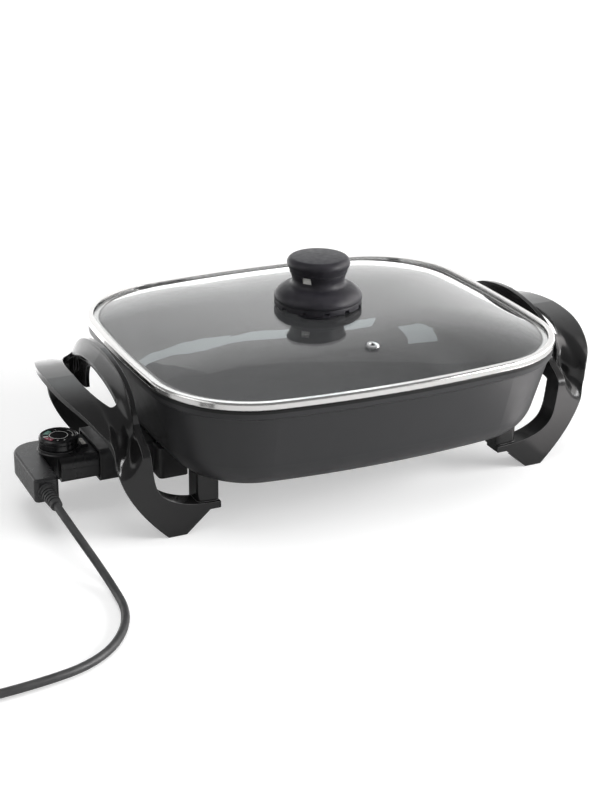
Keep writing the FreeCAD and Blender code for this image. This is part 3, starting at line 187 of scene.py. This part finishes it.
def mirror_card(name, corners, colour, levels):
    """Card that only reflections see. Its brightness goes by height, from pairs of height and level."""
    card = mesh_piece(name, corners, [tuple(range(len(corners)))])
    for kind in ("visible_camera", "visible_diffuse", "visible_shadow", "visible_transmission"):
        setattr(card, kind, False)
    shining = bpy.data.materials.new(name)
    shining.use_nodes = True
    shining.node_tree.nodes.clear()
    low, high = levels[0][0], levels[-1][0]
    brightest = max(level for z, level in levels)
    place = add_node(shining, "TexCoord").outputs["Object"]
    height = add_node(shining, "SeparateXYZ", Vector=place).outputs["Z"]
    share = add_node(shining, "MapRange", Value=height, From_Min=low, From_Max=high)
    ramp = add_node(shining, "ValToRGB", Fac=share.outputs["Result"])
    for z, level in levels[1:-1]:
        ramp.color_ramp.elements.new((z - low) / (high - low))
    for stop, (z, level) in zip(ramp.color_ramp.elements, levels):
        stop.color = (*[part * level / brightest for part in colour], 1)
    shine = add_node(shining, "Emission", Color=ramp.outputs["Color"], Strength=brightest)
    add_node(shining, "OutputMaterial", Surface=shine.outputs[0])
    card.data.materials.append(shining)


white = (1, 1, 1)
bluish_white = (0.9, 0.98, 1.0)
pinkish_white = (1, 0.97, 0.96)

# The wall behind, darker with its height, lights the glass from the lid's rear edge forwards.
wall_y = 3.0
wall_outline = [(-6, 0), (8, 0), (8, 8), (3.9, 5.7), (2.7, 4.4), (1.7, 3.25), (0.9, 2.85), (0.5, 2.85),
                (0.2, 2.0), (-0.4, 1.65), (-6, 1.6)]
wall_levels = [(0, 3.0), (0.3, 1.4), (0.9, 1.3), (1.85, 0.95), (2.2, 0.72), (2.9, 0.55), (8, 0.45)]
mirror_card("card_behind", [(x, wall_y, z) for x, z in wall_outline], white, wall_levels)

# The strip and the patch just before it are the two pale shapes in the glass.
strip_y = 2.9
strip_outline = [(-0.2, 1.78), (0.3, 1.75), (0.7, 1.66), (1.1, 1.58), (1.7, 1.56), (1.74, 1.84),
                 (1.1, 1.81), (0.7, 1.81), (0.3, 1.82), (-0.2, 1.83)]
mirror_card("card_strip", [(x, strip_y, z) for x, z in strip_outline], bluish_white,
            [(1, 2.2), (2, 2.2)])
patch_outline = [(1.9, 2.0), (2.05, 1.98), (2.5, 3.1), (2.3, 3.05)]
mirror_card("card_patch", [(x, strip_y, z) for x, z in patch_outline], bluish_white,
            [(1, 2.0), (4, 2.0)])

# The other cards are the pale reflections in the handles, the rim and the right-hand leg.
mirror_card("card_right", [(1.5, -1.1, 0.25), (1.5, 0.5, 0.25), (1.2, 0.5, 1.3), (1.2, -1.1, 1.3)],
            pinkish_white, [(0.2, 2.4), (1.3, 3.2)])
mirror_card("card_low", [(-0.7, 1.2, 0), (1.7, 1.2, 0), (1.7, 1.2, 0.2), (-0.7, 1.2, 0.2)],
            white, [(0, 2.4), (0.5, 2.4)])
mirror_card("card_floor", [(-0.7, 0.32, 0.001), (1.7, 0.32, 0.001), (1.7, 1.2, 0.001), (-0.7, 1.2, 0.001)],
            white, [(0, 2.4), (0.5, 2.4)])
mirror_card("card_left", [(-1.1, -0.6, 0.55), (-1.1, 0.4, 0.55), (-1.0, 0.4, 1.4), (-1.0, -0.6, 1.4)],
            white, [(0.5, 1.5), (1.4, 1.5)])
mirror_card("card_right_leg", [(0.22, -0.12, 0.001), (0.36, -0.12, 0.001), (0.36, -0.24, 0.0155),
                               (0.22, -0.24, 0.0155)],
            (1, 0.97, 0.97), [(0.001, 1.4), (0.006, 2.2), (0.0155, 4.6)])

# The pan
# One aluminium casting with bowed walls and a round foot, sprayed inside and out with a charcoal
# non-stick coating that has a fine metallic fleck and a slight orange peel.
edge_samples = 6
pattern_low = 0.3
pattern_high = 0.7


def new_finish(name, colour, roughness, metallic=0.0, refraction=1.5):
    """New material and its shader."""
    finish = bpy.data.materials.new(name)
    finish.use_nodes = True
    shader = finish.node_tree.nodes["Principled BSDF"]
    shader.inputs["Base Color"].default_value = (*colour, 1)
    shader.inputs["Roughness"].default_value = roughness
    shader.inputs["Metallic"].default_value = metallic
    shader.inputs["IOR"].default_value = refraction
    return finish, shader


def mottle(finish, size, detail=4.0, stretch=(1, 1, 1)):
    """Soft random pattern over a piece, its patches as large as size, in metres."""
    place = add_node(finish, "TexCoord").outputs["Object"]
    scaled = add_node(finish, "Mapping", Vector=place, Scale=stretch)
    pattern = add_node(finish, "TexNoise", Vector=scaled.outputs[0], Scale=1 / size, Detail=detail)
    return pattern.outputs["Fac"]


def two_tones(finish, pattern, dark, light, start=0.35, end=0.65):
    """Colour that goes from dark to light while a pattern goes from start to end."""
    ramp = add_node(finish, "ValToRGB", Fac=pattern)
    ramp.color_ramp.elements[0].position = start
    ramp.color_ramp.elements[1].position = end
    ramp.color_ramp.elements[0].color = (*dark, 1)
    ramp.color_ramp.elements[1].color = (*light, 1)
    return ramp.outputs["Color"]


def vary_colour(finish, shader, pattern, dark, light):
    """Base colour between two tones by a pattern."""
    finish.node_tree.links.new(two_tones(finish, pattern, dark, light), shader.inputs["Base Color"])


def vary_roughness(finish, shader, pattern, smooth, rough):
    """Roughness between two levels by a pattern."""
    level = add_node(finish, "MapRange", Value=pattern, From_Min=pattern_low, From_Max=pattern_high,
                     To_Min=smooth, To_Max=rough)
    finish.node_tree.links.new(level.outputs["Result"], shader.inputs["Roughness"])


def rounded_edges(finish, radius, samples):
    """Direction of a face as if its edges were rounded off by a radius."""
    rounded = finish.node_tree.nodes.new("ShaderNodeBevel")
    rounded.samples = samples
    rounded.inputs["Radius"].default_value = radius
    return rounded.outputs[0]


def emboss(finish, shader, pattern, depth, edge_radius):
    """Fine relief of a pattern, on edges that are rounded off by a radius."""
    relief = add_node(finish, "Bump", Height=pattern, Distance=depth, Strength=1.0,
                      Normal=rounded_edges(finish, edge_radius, edge_samples))
    finish.node_tree.links.new(relief.outputs[0], shader.inputs["Normal"])


def dress(finish, *names):
    """Gives a finish to whole pieces."""
    for name in names:
        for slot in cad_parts[name].material_slots:
            slot.material = finish


coating, shader = new_finish("charcoal_coating", (0.028, 0.028, 0.03), 0.4)
shader.inputs["Specular IOR Level"].default_value = 0.4
# Above a set height, the lip that the lid's rim covers is painted near-black: a painted shadow.
rim_shadow_low = 0.1297
rim_shadow_fade = 0.0002
painted_rim_shadow = (0.001, 0.001, 0.001, 1)
height = add_node(coating, "SeparateXYZ", Vector=add_node(coating, "TexCoord").outputs["Object"])
rim_shadow_mask = add_node(coating, "MapRange", Value=height.outputs["Z"], From_Min=rim_shadow_low,
                     From_Max=rim_shadow_low + rim_shadow_fade)
fleck = two_tones(coating, mottle(coating, size=0.0006, detail=2.0), (0.024, 0.024, 0.0255),
                  (0.030, 0.030, 0.032), start=0, end=1)
shade = add_node(coating, "MixRGB", Fac=rim_shadow_mask.outputs["Result"], Color1=fleck, Color2=painted_rim_shadow)
coating.node_tree.links.new(shade.outputs[0], shader.inputs["Base Color"])
vary_roughness(coating, shader, mottle(coating, size=0.02, detail=2.0), smooth=0.36, rough=0.44)
emboss(coating, shader, mottle(coating, size=0.0016, detail=1.0), depth=0.000004, edge_radius=0.0012)
dress(coating, "pan_body")

# The heating element and its terminals
# A steel-sheathed tube is cast into a ridge under the floor. Its two cold ends leave through ceramic
# collars as nickel plated pins.
sheath, shader = new_finish("dull_steel_sheath", (0.32, 0.31, 0.3), 0.45, metallic=1.0)
vary_roughness(sheath, shader, mottle(sheath, size=0.004), smooth=0.35, rough=0.6)
emboss(sheath, shader, mottle(sheath, size=0.001), depth=0.00004, edge_radius=0.0004)
dress(sheath, "heating_element")

along_pin = (0.1, 1, 1)
plating, shader = new_finish("nickel_plate", (0.72, 0.7, 0.66), 0.2, metallic=1.0)
vary_roughness(plating, shader, mottle(plating, size=0.003), smooth=0.14, rough=0.3)
emboss(plating, shader, mottle(plating, size=0.0008, stretch=along_pin), depth=0.00001,
       edge_radius=0.0003)
dress(plating, "terminal_pins", "plug_pins", "earth_contacts")

ceramic, shader = new_finish("white_ceramic", (0.78, 0.76, 0.7), 0.6)
vary_colour(ceramic, shader, mottle(ceramic, size=0.002), (0.72, 0.7, 0.64), (0.82, 0.8, 0.75))
emboss(ceramic, shader, mottle(ceramic, size=0.0006), depth=0.00004, edge_radius=0.0004)
dress(ceramic, "pin_insulators")

# The terminal housing
# A tunnel round the pins, moulded in heat-proof satin black plastic, that the probe's nose slides into.
# Two zinc plated screws hold it to the casting. The same plating is on all the other screws.
housing_black, shader = new_finish("satin_heat_proof_black", (0.02, 0.02, 0.021), 0.42)
vary_roughness(housing_black, shader, mottle(housing_black, size=0.008), smooth=0.36, rough=0.5)
emboss(housing_black, shader, mottle(housing_black, size=0.0007), depth=0.00005, edge_radius=0.0007)
dress(housing_black, "terminal_housing")

zinc, shader = new_finish("zinc_plated_steel", (0.56, 0.56, 0.57), 0.32, metallic=1.0)
vary_roughness(zinc, shader, mottle(zinc, size=0.002), smooth=0.25, rough=0.45)
emboss(zinc, shader, mottle(zinc, size=0.0006), depth=0.00002, edge_radius=0.0002)
dress(zinc, "housing_screws", "handle_screws", "knob_screw", "knob_washer", "probe_screws", "dial_shaft")

# The handles
# Each is one phenolic moulding, polished outside: a guard by the pan, a finger slot, a grip, and two
# ribbon legs that end in flat feet. Screws hold it to the casting's bosses from below. A thin paler
# line is painted along its edges as a painted highlight.
handle_black, shader = new_finish("polished_black_phenolic", (0.009, 0.009, 0.0095), 0.2)
# Painted highlight: a paler grey is mixed into the colour where the rounded-edge direction turns away from
# the face's own.
edge_highlight_radius = 0.0006
edge_highlight_samples = 8
edge_highlight_starts = 0.995
edge_highlight_full = 0.93
painted_highlight_grey = (0.14, 0.14, 0.14, 1)
facing = join(handle_black, "VectorMath", "DOT_PRODUCT",
              rounded_edges(handle_black, edge_highlight_radius, edge_highlight_samples),
              add_node(handle_black, "NewGeometry").outputs["Normal"])
edge_highlight_mask = add_node(handle_black, "MapRange", Value=facing.outputs["Value"], From_Min=edge_highlight_starts,
                   From_Max=edge_highlight_full)
black_tones = two_tones(handle_black, mottle(handle_black, size=0.03), (0.006, 0.006, 0.0065),
                        (0.012, 0.0115, 0.0115), start=0, end=1)
painted_edge_highlight = add_node(handle_black, "MixRGB", Fac=edge_highlight_mask.outputs["Result"], Color1=black_tones,
                    Color2=painted_highlight_grey)
handle_black.node_tree.links.new(painted_edge_highlight.outputs[0], shader.inputs["Base Color"])
vary_roughness(handle_black, shader, mottle(handle_black, size=0.012), smooth=0.18, rough=0.25)
emboss(handle_black, shader, mottle(handle_black, size=0.006, detail=2.0), depth=0.00001,
       edge_radius=0.0011)
dress(handle_black, "right_handle", "left_handle")

# The lid's rim
# A band of thin stainless steel, rolled round the edge of the glass so that it grips it without glue,
# and polished along its length.
along_rim = (0.2, 0.2, 4)
rim_steel, shader = new_finish("polished_stainless", (0.8, 0.79, 0.78), 0.14, metallic=1.0)
vary_roughness(rim_steel, shader, mottle(rim_steel, size=0.01), smooth=0.1, rough=0.2)
emboss(rim_steel, shader, mottle(rim_steel, size=0.0005, stretch=along_rim), depth=0.00001,
       edge_radius=0.0015)
dress(rim_steel, "lid_rim")

# The lid's glass
# One pane of clear tempered glass, pressed into a low dome. It lets daylight through to the food, so
# only its own reflections and a faint green tint show.
glass = bpy.data.materials.new("tempered_glass")
glass.use_nodes = True
shader = glass.node_tree.nodes["Principled BSDF"]
shader.inputs["Base Color"].default_value = (0.97, 0.98, 0.98, 1)
shader.inputs["Transmission Weight"].default_value = 1
shader.inputs["IOR"].default_value = 1.5
wipe_marks = mottle(glass, size=0.03, detail=3.0)
vary_roughness(glass, shader, wipe_marks, smooth=0.0, rough=0.02)
lets_light_through = add_node(glass, "BsdfTransparent", Color=(0.86, 0.87, 0.87, 1))
pane = glass.node_tree.nodes.new("ShaderNodeMixShader")
glass.node_tree.links.new(ray_share(glass, "Is Shadow Ray"), pane.inputs[0])
glass.node_tree.links.new(shader.outputs[0], pane.inputs[1])
glass.node_tree.links.new(lets_light_through.outputs[0], pane.inputs[2])
glass.node_tree.links.new(pane.outputs[0], glass.node_tree.nodes["Material Output"].inputs["Surface"])
dress(glass, "lid_glass")

# The vent
# A thin brass eyelet, bright chromed, in the steam hole between the knob and the lid's front edge. Its
# top is rolled over the glass, and its barrel lines the hole.
chrome, shader = new_finish("bright_eyelet", (0.82, 0.82, 0.83), 0.1, metallic=1.0)
vary_roughness(chrome, shader, mottle(chrome, size=0.002), smooth=0.06, rough=0.18)
emboss(chrome, shader, mottle(chrome, size=0.001), depth=0.00001, edge_radius=0.0002)
dress(chrome, "vent_eyelet")

# The knob
# Three satin black mouldings, a notched base, a cap and a boss below the glass, drawn together by one
# screw into a brass insert. A small pale plate closes the window in the neck, and a silicone gasket
# lies between the base and the glass.
knob_black, shader = new_finish("satin_black_knob", (0.018, 0.0165, 0.021), 0.4)
shader.inputs["Specular IOR Level"].default_value = 0.28
vary_colour(knob_black, shader, mottle(knob_black, size=0.01), (0.0155, 0.0145, 0.0185),
            (0.022, 0.0205, 0.0255))
vary_roughness(knob_black, shader, mottle(knob_black, size=0.006), smooth=0.36, rough=0.48)
emboss(knob_black, shader, mottle(knob_black, size=0.0012), depth=0.00001, edge_radius=0.002)
dress(knob_black, "knob_base", "knob_cap")

boss_black, shader = new_finish("satin_black_boss", (0.034, 0.031, 0.04), 0.45)
vary_colour(boss_black, shader, mottle(boss_black, size=0.01), (0.03, 0.027, 0.036),
            (0.04, 0.037, 0.047))
vary_roughness(boss_black, shader, mottle(boss_black, size=0.006), smooth=0.4, rough=0.52)
emboss(boss_black, shader, mottle(boss_black, size=0.0012), depth=0.00001, edge_radius=0.0006)
dress(boss_black, "knob_lower_boss")

pale_plate, shader = new_finish("pale_plate", (0.74, 0.73, 0.7), 0.4)
vary_colour(pale_plate, shader, mottle(pale_plate, size=0.003), (0.7, 0.69, 0.66), (0.78, 0.77, 0.74))
emboss(pale_plate, shader, mottle(pale_plate, size=0.0005), depth=0.00003, edge_radius=0.0004)
dress(pale_plate, "knob_inset")

seal, shader = new_finish("grey_black_silicone", (0.05, 0.05, 0.05), 0.7)
vary_roughness(seal, shader, mottle(seal, size=0.003), smooth=0.6, rough=0.8)
emboss(seal, shader, mottle(seal, size=0.0006), depth=0.00004, edge_radius=0.0004)
dress(seal, "knob_gasket")

brass, shader = new_finish("turned_brass", (0.72, 0.55, 0.25), 0.3, metallic=1.0)
vary_roughness(brass, shader, mottle(brass, size=0.002), smooth=0.22, rough=0.42)
emboss(brass, shader, mottle(brass, size=0.0006), depth=0.00001, edge_radius=0.0002)
dress(brass, "knob_insert", "contact_sleeves", "thermostat")

# The probe
# Two smooth black shells, screwed together from below, hold the thermostat, the sensor rod and the
# contacts. The long bar across the end is the grip to pull it by.
probe_black, shader = new_finish("smooth_probe_black", (0.018, 0.018, 0.019), 0.28)
vary_colour(probe_black, shader, mottle(probe_black, size=0.02, detail=1.0), (0.0145, 0.0145, 0.0155),
            (0.018, 0.018, 0.019))
vary_roughness(probe_black, shader, mottle(probe_black, size=0.012, detail=1.0), smooth=0.26, rough=0.31)
emboss(probe_black, shader, mottle(probe_black, size=0.0012, detail=1.0), depth=0.0000015,
       edge_radius=0.0008)
dress(probe_black, "probe_body_upper", "probe_body_lower")

along_rod = (0.1, 1, 1)
sensor_steel, shader = new_finish("drawn_sensor_steel", (0.62, 0.62, 0.63), 0.25, metallic=1.0)
vary_roughness(sensor_steel, shader, mottle(sensor_steel, size=0.004), smooth=0.18, rough=0.34)
emboss(sensor_steel, shader, mottle(sensor_steel, size=0.0008, stretch=along_rod), depth=0.00001,
       edge_radius=0.0003)
dress(sensor_steel, "sensor_rod")

# The dial
# A glossy black button on the switch's shaft. Its recessed top is printed with a white ring, a green
# and a red band, plain numbers and an arrow, which all turn with it.
dial_black, shader = new_finish("glossy_dial_black", (0.014, 0.014, 0.015), 0.18)
vary_roughness(dial_black, shader, mottle(dial_black, size=0.004), smooth=0.14, rough=0.26)
emboss(dial_black, shader, mottle(dial_black, size=0.0008), depth=0.000004, edge_radius=0.0005)
dress(dial_black, "dial")

dial_low, dial_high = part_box("dial")
dial_centre = (dial_low + dial_high) / 2
dial_recess = 0.0005
print_lift = 0.00005
print_z = dial_high.z - dial_recess + print_lift
ring_r = 0.0082
ring_half_width = 0.00035
band_inner_r = 0.0094
band_outer_r = 0.0138
band_middle_r = (band_inner_r + band_outer_r) / 2
arc_inner_r = band_outer_r - 0.0012
arc_outer_r = band_outer_r - 0.0006
arrow_inner_r = band_outer_r - 0.0022
arrow_outer_r = band_outer_r + 0.0004
arrow_tip_r = band_outer_r - 0.0009
degrees_a_step = 4
pinhole_share = 0.85


def print_ink(name, colour):
    """Thin layer of printed ink, with pinholes."""
    ink, shader = new_finish(name, colour, 0.35)
    darker = tuple(pinhole_share * share for share in colour)
    vary_colour(ink, shader, mottle(ink, size=0.0004), darker, colour)
    emboss(ink, shader, mottle(ink, size=0.0002), depth=0.000005, edge_radius=0.00002)
    return ink


white_ink = print_ink("white_ink", (0.8, 0.8, 0.78))
green_ink = print_ink("green_ink", (0.1, 0.3, 0.24))
red_ink = print_ink("red_ink", (0.3, 0.02, 0.06))


def on_dial(radius, degrees):
    """Point of the dial's face, with the angle counted from the right of the view."""
    angle = math.radians(degrees) + view_azimuth
    return Vector((dial_centre.x + radius * math.cos(angle), dial_centre.y + radius * math.sin(angle),
                   print_z))


def printed(piece, ink):
    """Ink on the dial's face, which turns with the dial."""
    piece.data.materials.append(ink)
    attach(piece, "dial")


def printed_band(name, inner, outer, start, end, ink):
    """Part of a ring on the dial's face, between two angles."""
    steps = max(4, round(abs(end - start) / degrees_a_step))
    angles = [start + (end - start) * k / steps for k in range(steps + 1)]
    points = [on_dial(radius, angle) for angle in angles for radius in (inner, outer)]
    faces = [(2 * k, 2 * k + 1, 2 * k + 3, 2 * k + 2) for k in range(steps)]
    printed(mesh_piece(name, points, faces), ink)


printed_band("dial_print_ring", ring_r - ring_half_width, ring_r + ring_half_width, 0, 360, white_ink)
printed_band("dial_print_green", band_inner_r, band_outer_r, 178, 138, green_ink)
printed_band("dial_print_red", band_inner_r, band_outer_r, 252, 212, red_ink)
printed_band("dial_print_pale", band_inner_r, band_outer_r, 208, 197, white_ink)
printed_band("dial_print_arc", arc_inner_r, arc_outer_r, 62, 4, white_ink)
arrow_points = [on_dial(arrow_inner_r, 6), on_dial(arrow_outer_r, 6), on_dial(arrow_tip_r, -8)]
printed(mesh_piece("dial_print_arrow", arrow_points, [(0, 1, 2)]), white_ink)

number_height = 0.0036
number_places = (("1", 112), ("2", 147), ("3", 168), ("4", 222), ("5", 242), ("6", 275), ("7", 305))
for number, degrees in number_places:
    letter = bpy.data.curves.new("dial_number_" + number, "FONT")
    letter.body = number
    letter.size = number_height
    letter.align_x = "CENTER"
    letter.align_y = "CENTER"
    shape = bpy.data.objects.new("number_shape", letter)
    mesh = bpy.data.meshes.new_from_object(shape)
    bpy.data.objects.remove(shape)
    figure = bpy.data.objects.new("dial_number_" + number, mesh)
    bpy.context.scene.collection.objects.link(figure)
    figure.location = on_dial(band_middle_r, degrees) + Vector((0, 0, print_lift))
    figure.rotation_euler = (0, 0, math.radians(degrees - 90) + view_azimuth)
    bpy.context.view_layer.update()
    printed(figure, white_ink)

# The pilot lamp
# A small neon lamp lights up a pale translucent plastic lens, which is pressed into a hood on the nose of
# the probe.
lens_plastic, shader = new_finish("milky_lens", (0.62, 0.6, 0.56), 0.25)
shader.inputs["Transmission Weight"].default_value = 0.3
vary_roughness(lens_plastic, shader, mottle(lens_plastic, size=0.002), smooth=0.2, rough=0.34)
emboss(lens_plastic, shader, mottle(lens_plastic, size=0.001), depth=0.00002, edge_radius=0.0004)
dress(lens_plastic, "pilot_lens")

lamp_glass, shader = new_finish("neon_glass", (0.9, 0.6, 0.4), 0.08)
shader.inputs["Transmission Weight"].default_value = 0.8
vary_roughness(lamp_glass, shader, mottle(lamp_glass, size=0.001), smooth=0.04, rough=0.14)
dress(lamp_glass, "neon_lamp")

# The cord
# Seven millimetres of black flexible, 1.22 m long, from the ribbed relief on the probe's bar down to the
# table, round to a small coil that a strap holds, and on to the plug.
cord_diameter = 0.007
relief_end = Vector((-0.2693, -0.082, 0.0399))
route = [relief_end, (-0.26781, -0.11173, 0.03618), (-0.2505, -0.16, 0.0035), (-0.2545, -0.226, 0.0035),
         (-0.2945, -0.276, 0.0035), (-0.3605, -0.29, 0.0049)]
coil_x = -0.4245
coil_y = -0.29
coil_entry_r = 0.042
coil_step = 0.00385
coil_low_z = 0.0049
coil_high_z = 0.0126
half_turn_points = 8
tail = [(-0.4625, -0.2977, 0.0126), (-0.5085, -0.284, 0.0175), (-0.5445, -0.284, 0.0175)]

# Each half turn has its radius, in steps from the entry's, and its height at its start and end.
half_turns = [(0, coil_low_z, coil_low_z), (-1, coil_low_z, coil_low_z), (-2, coil_low_z, coil_high_z),
              (-1, coil_high_z, coil_high_z), (0, coil_high_z, coil_high_z), (1, coil_high_z, coil_high_z)]
side = -1
for steps, start_z, end_z in half_turns:
    radius = coil_entry_r + steps * coil_step
    reach = radius / math.cos(math.pi / 2 / half_turn_points)
    middle_y = coil_y - side * radius
    for k in range(half_turn_points):
        angle = math.pi * (k + 0.5) / half_turn_points
        rise = (1 - math.cos(angle)) / 2
        route.append((coil_x + side * reach * math.sin(angle), middle_y + side * reach * math.cos(angle),
                      start_z + (end_z - start_z) * rise))
    coil_y = coil_y - side * 2 * radius
    side = -side
route += tail

line = bpy.data.curves.new("cord", "CURVE")
line.dimensions = "3D"
spline = line.splines.new("NURBS")
spline.points.add(len(route) - 1)
for point, place in zip(spline.points, route):
    point.co = (*place, 1)
spline.order_u = 3
spline.use_endpoint_u = True
spline.resolution_u = 8
line.bevel_depth = cord_diameter / 2
line.bevel_resolution = 5
cord = bpy.data.objects.new("mains_cord", line)
bpy.context.scene.collection.objects.link(cord)

jacket, shader = new_finish("satin_cord_jacket", (0.036, 0.036, 0.037), 0.42)
vary_colour(jacket, shader, mottle(jacket, size=0.01), (0.03, 0.03, 0.031), (0.044, 0.044, 0.045))
vary_roughness(jacket, shader, mottle(jacket, size=0.006), smooth=0.36, rough=0.5)
emboss(jacket, shader, mottle(jacket, size=0.0006), depth=0.00003, edge_radius=0.0003)
line.materials.append(jacket)
dress(jacket, "strain_relief")

# The coil's strap
# A flat band of grey-black silicone, a millimetre thick. It goes once round all the turns at the rear of
# the coil and holds them together.
strap_low, strap_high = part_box("coil_tie")
strap_thick = 0.001
strap_corner_r = 0.0035
strap_edge_r = 0.0003
corner_steps = 5


def strap_section(inset):
    """Rounded rectangle that the strap follows, seen along X."""
    low_y, high_y = strap_low.y + inset, strap_high.y - inset
    low_z, high_z = strap_low.z + inset, strap_high.z - inset
    radius = strap_corner_r - inset
    corners = [(high_y - radius, high_z - radius, 0), (low_y + radius, high_z - radius, 90),
               (low_y + radius, low_z + radius, 180), (high_y - radius, low_z + radius, 270)]
    points = []
    for y, z, start in corners:
        for k in range(corner_steps + 1):
            angle = math.radians(start + 90 * k / corner_steps)
            points.append((y + radius * math.cos(angle), z + radius * math.sin(angle)))
    return points


outer = strap_section(0)
inner = strap_section(strap_thick)
count = len(outer)
strap_points = [(x, y, z) for loop in (outer, inner) for x in (strap_low.x, strap_high.x) for y, z in loop]
strap_faces = []
for k in range(count):
    after = (k + 1) % count
    strap_faces += [(k, after, count + after, count + k),
                    (2 * count + k, 3 * count + k, 3 * count + after, 2 * count + after),
                    (k, 2 * count + k, 2 * count + after, after),
                    (count + k, count + after, 3 * count + after, 3 * count + k)]
strap = mesh_piece("coil_strap", strap_points, strap_faces)
bevel = strap.modifiers.new("edges", "BEVEL")
bevel.width = strap_edge_r
bevel.segments = 2
strap.data.materials.append(seal)
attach(strap, "probe")
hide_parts("coil_tie")

# The plug
# A round plug with a ribbed relief, moulded on to the end of the cord in the jacket's own material. Two
# plated pins stand in its face, and two earth springs lie in its flanks. The cord is declared here, with
# all that is on it.
dress(jacket, "plug_body")

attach(cord, "probe")
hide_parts("cord", "cord_coil", "cord_tail")
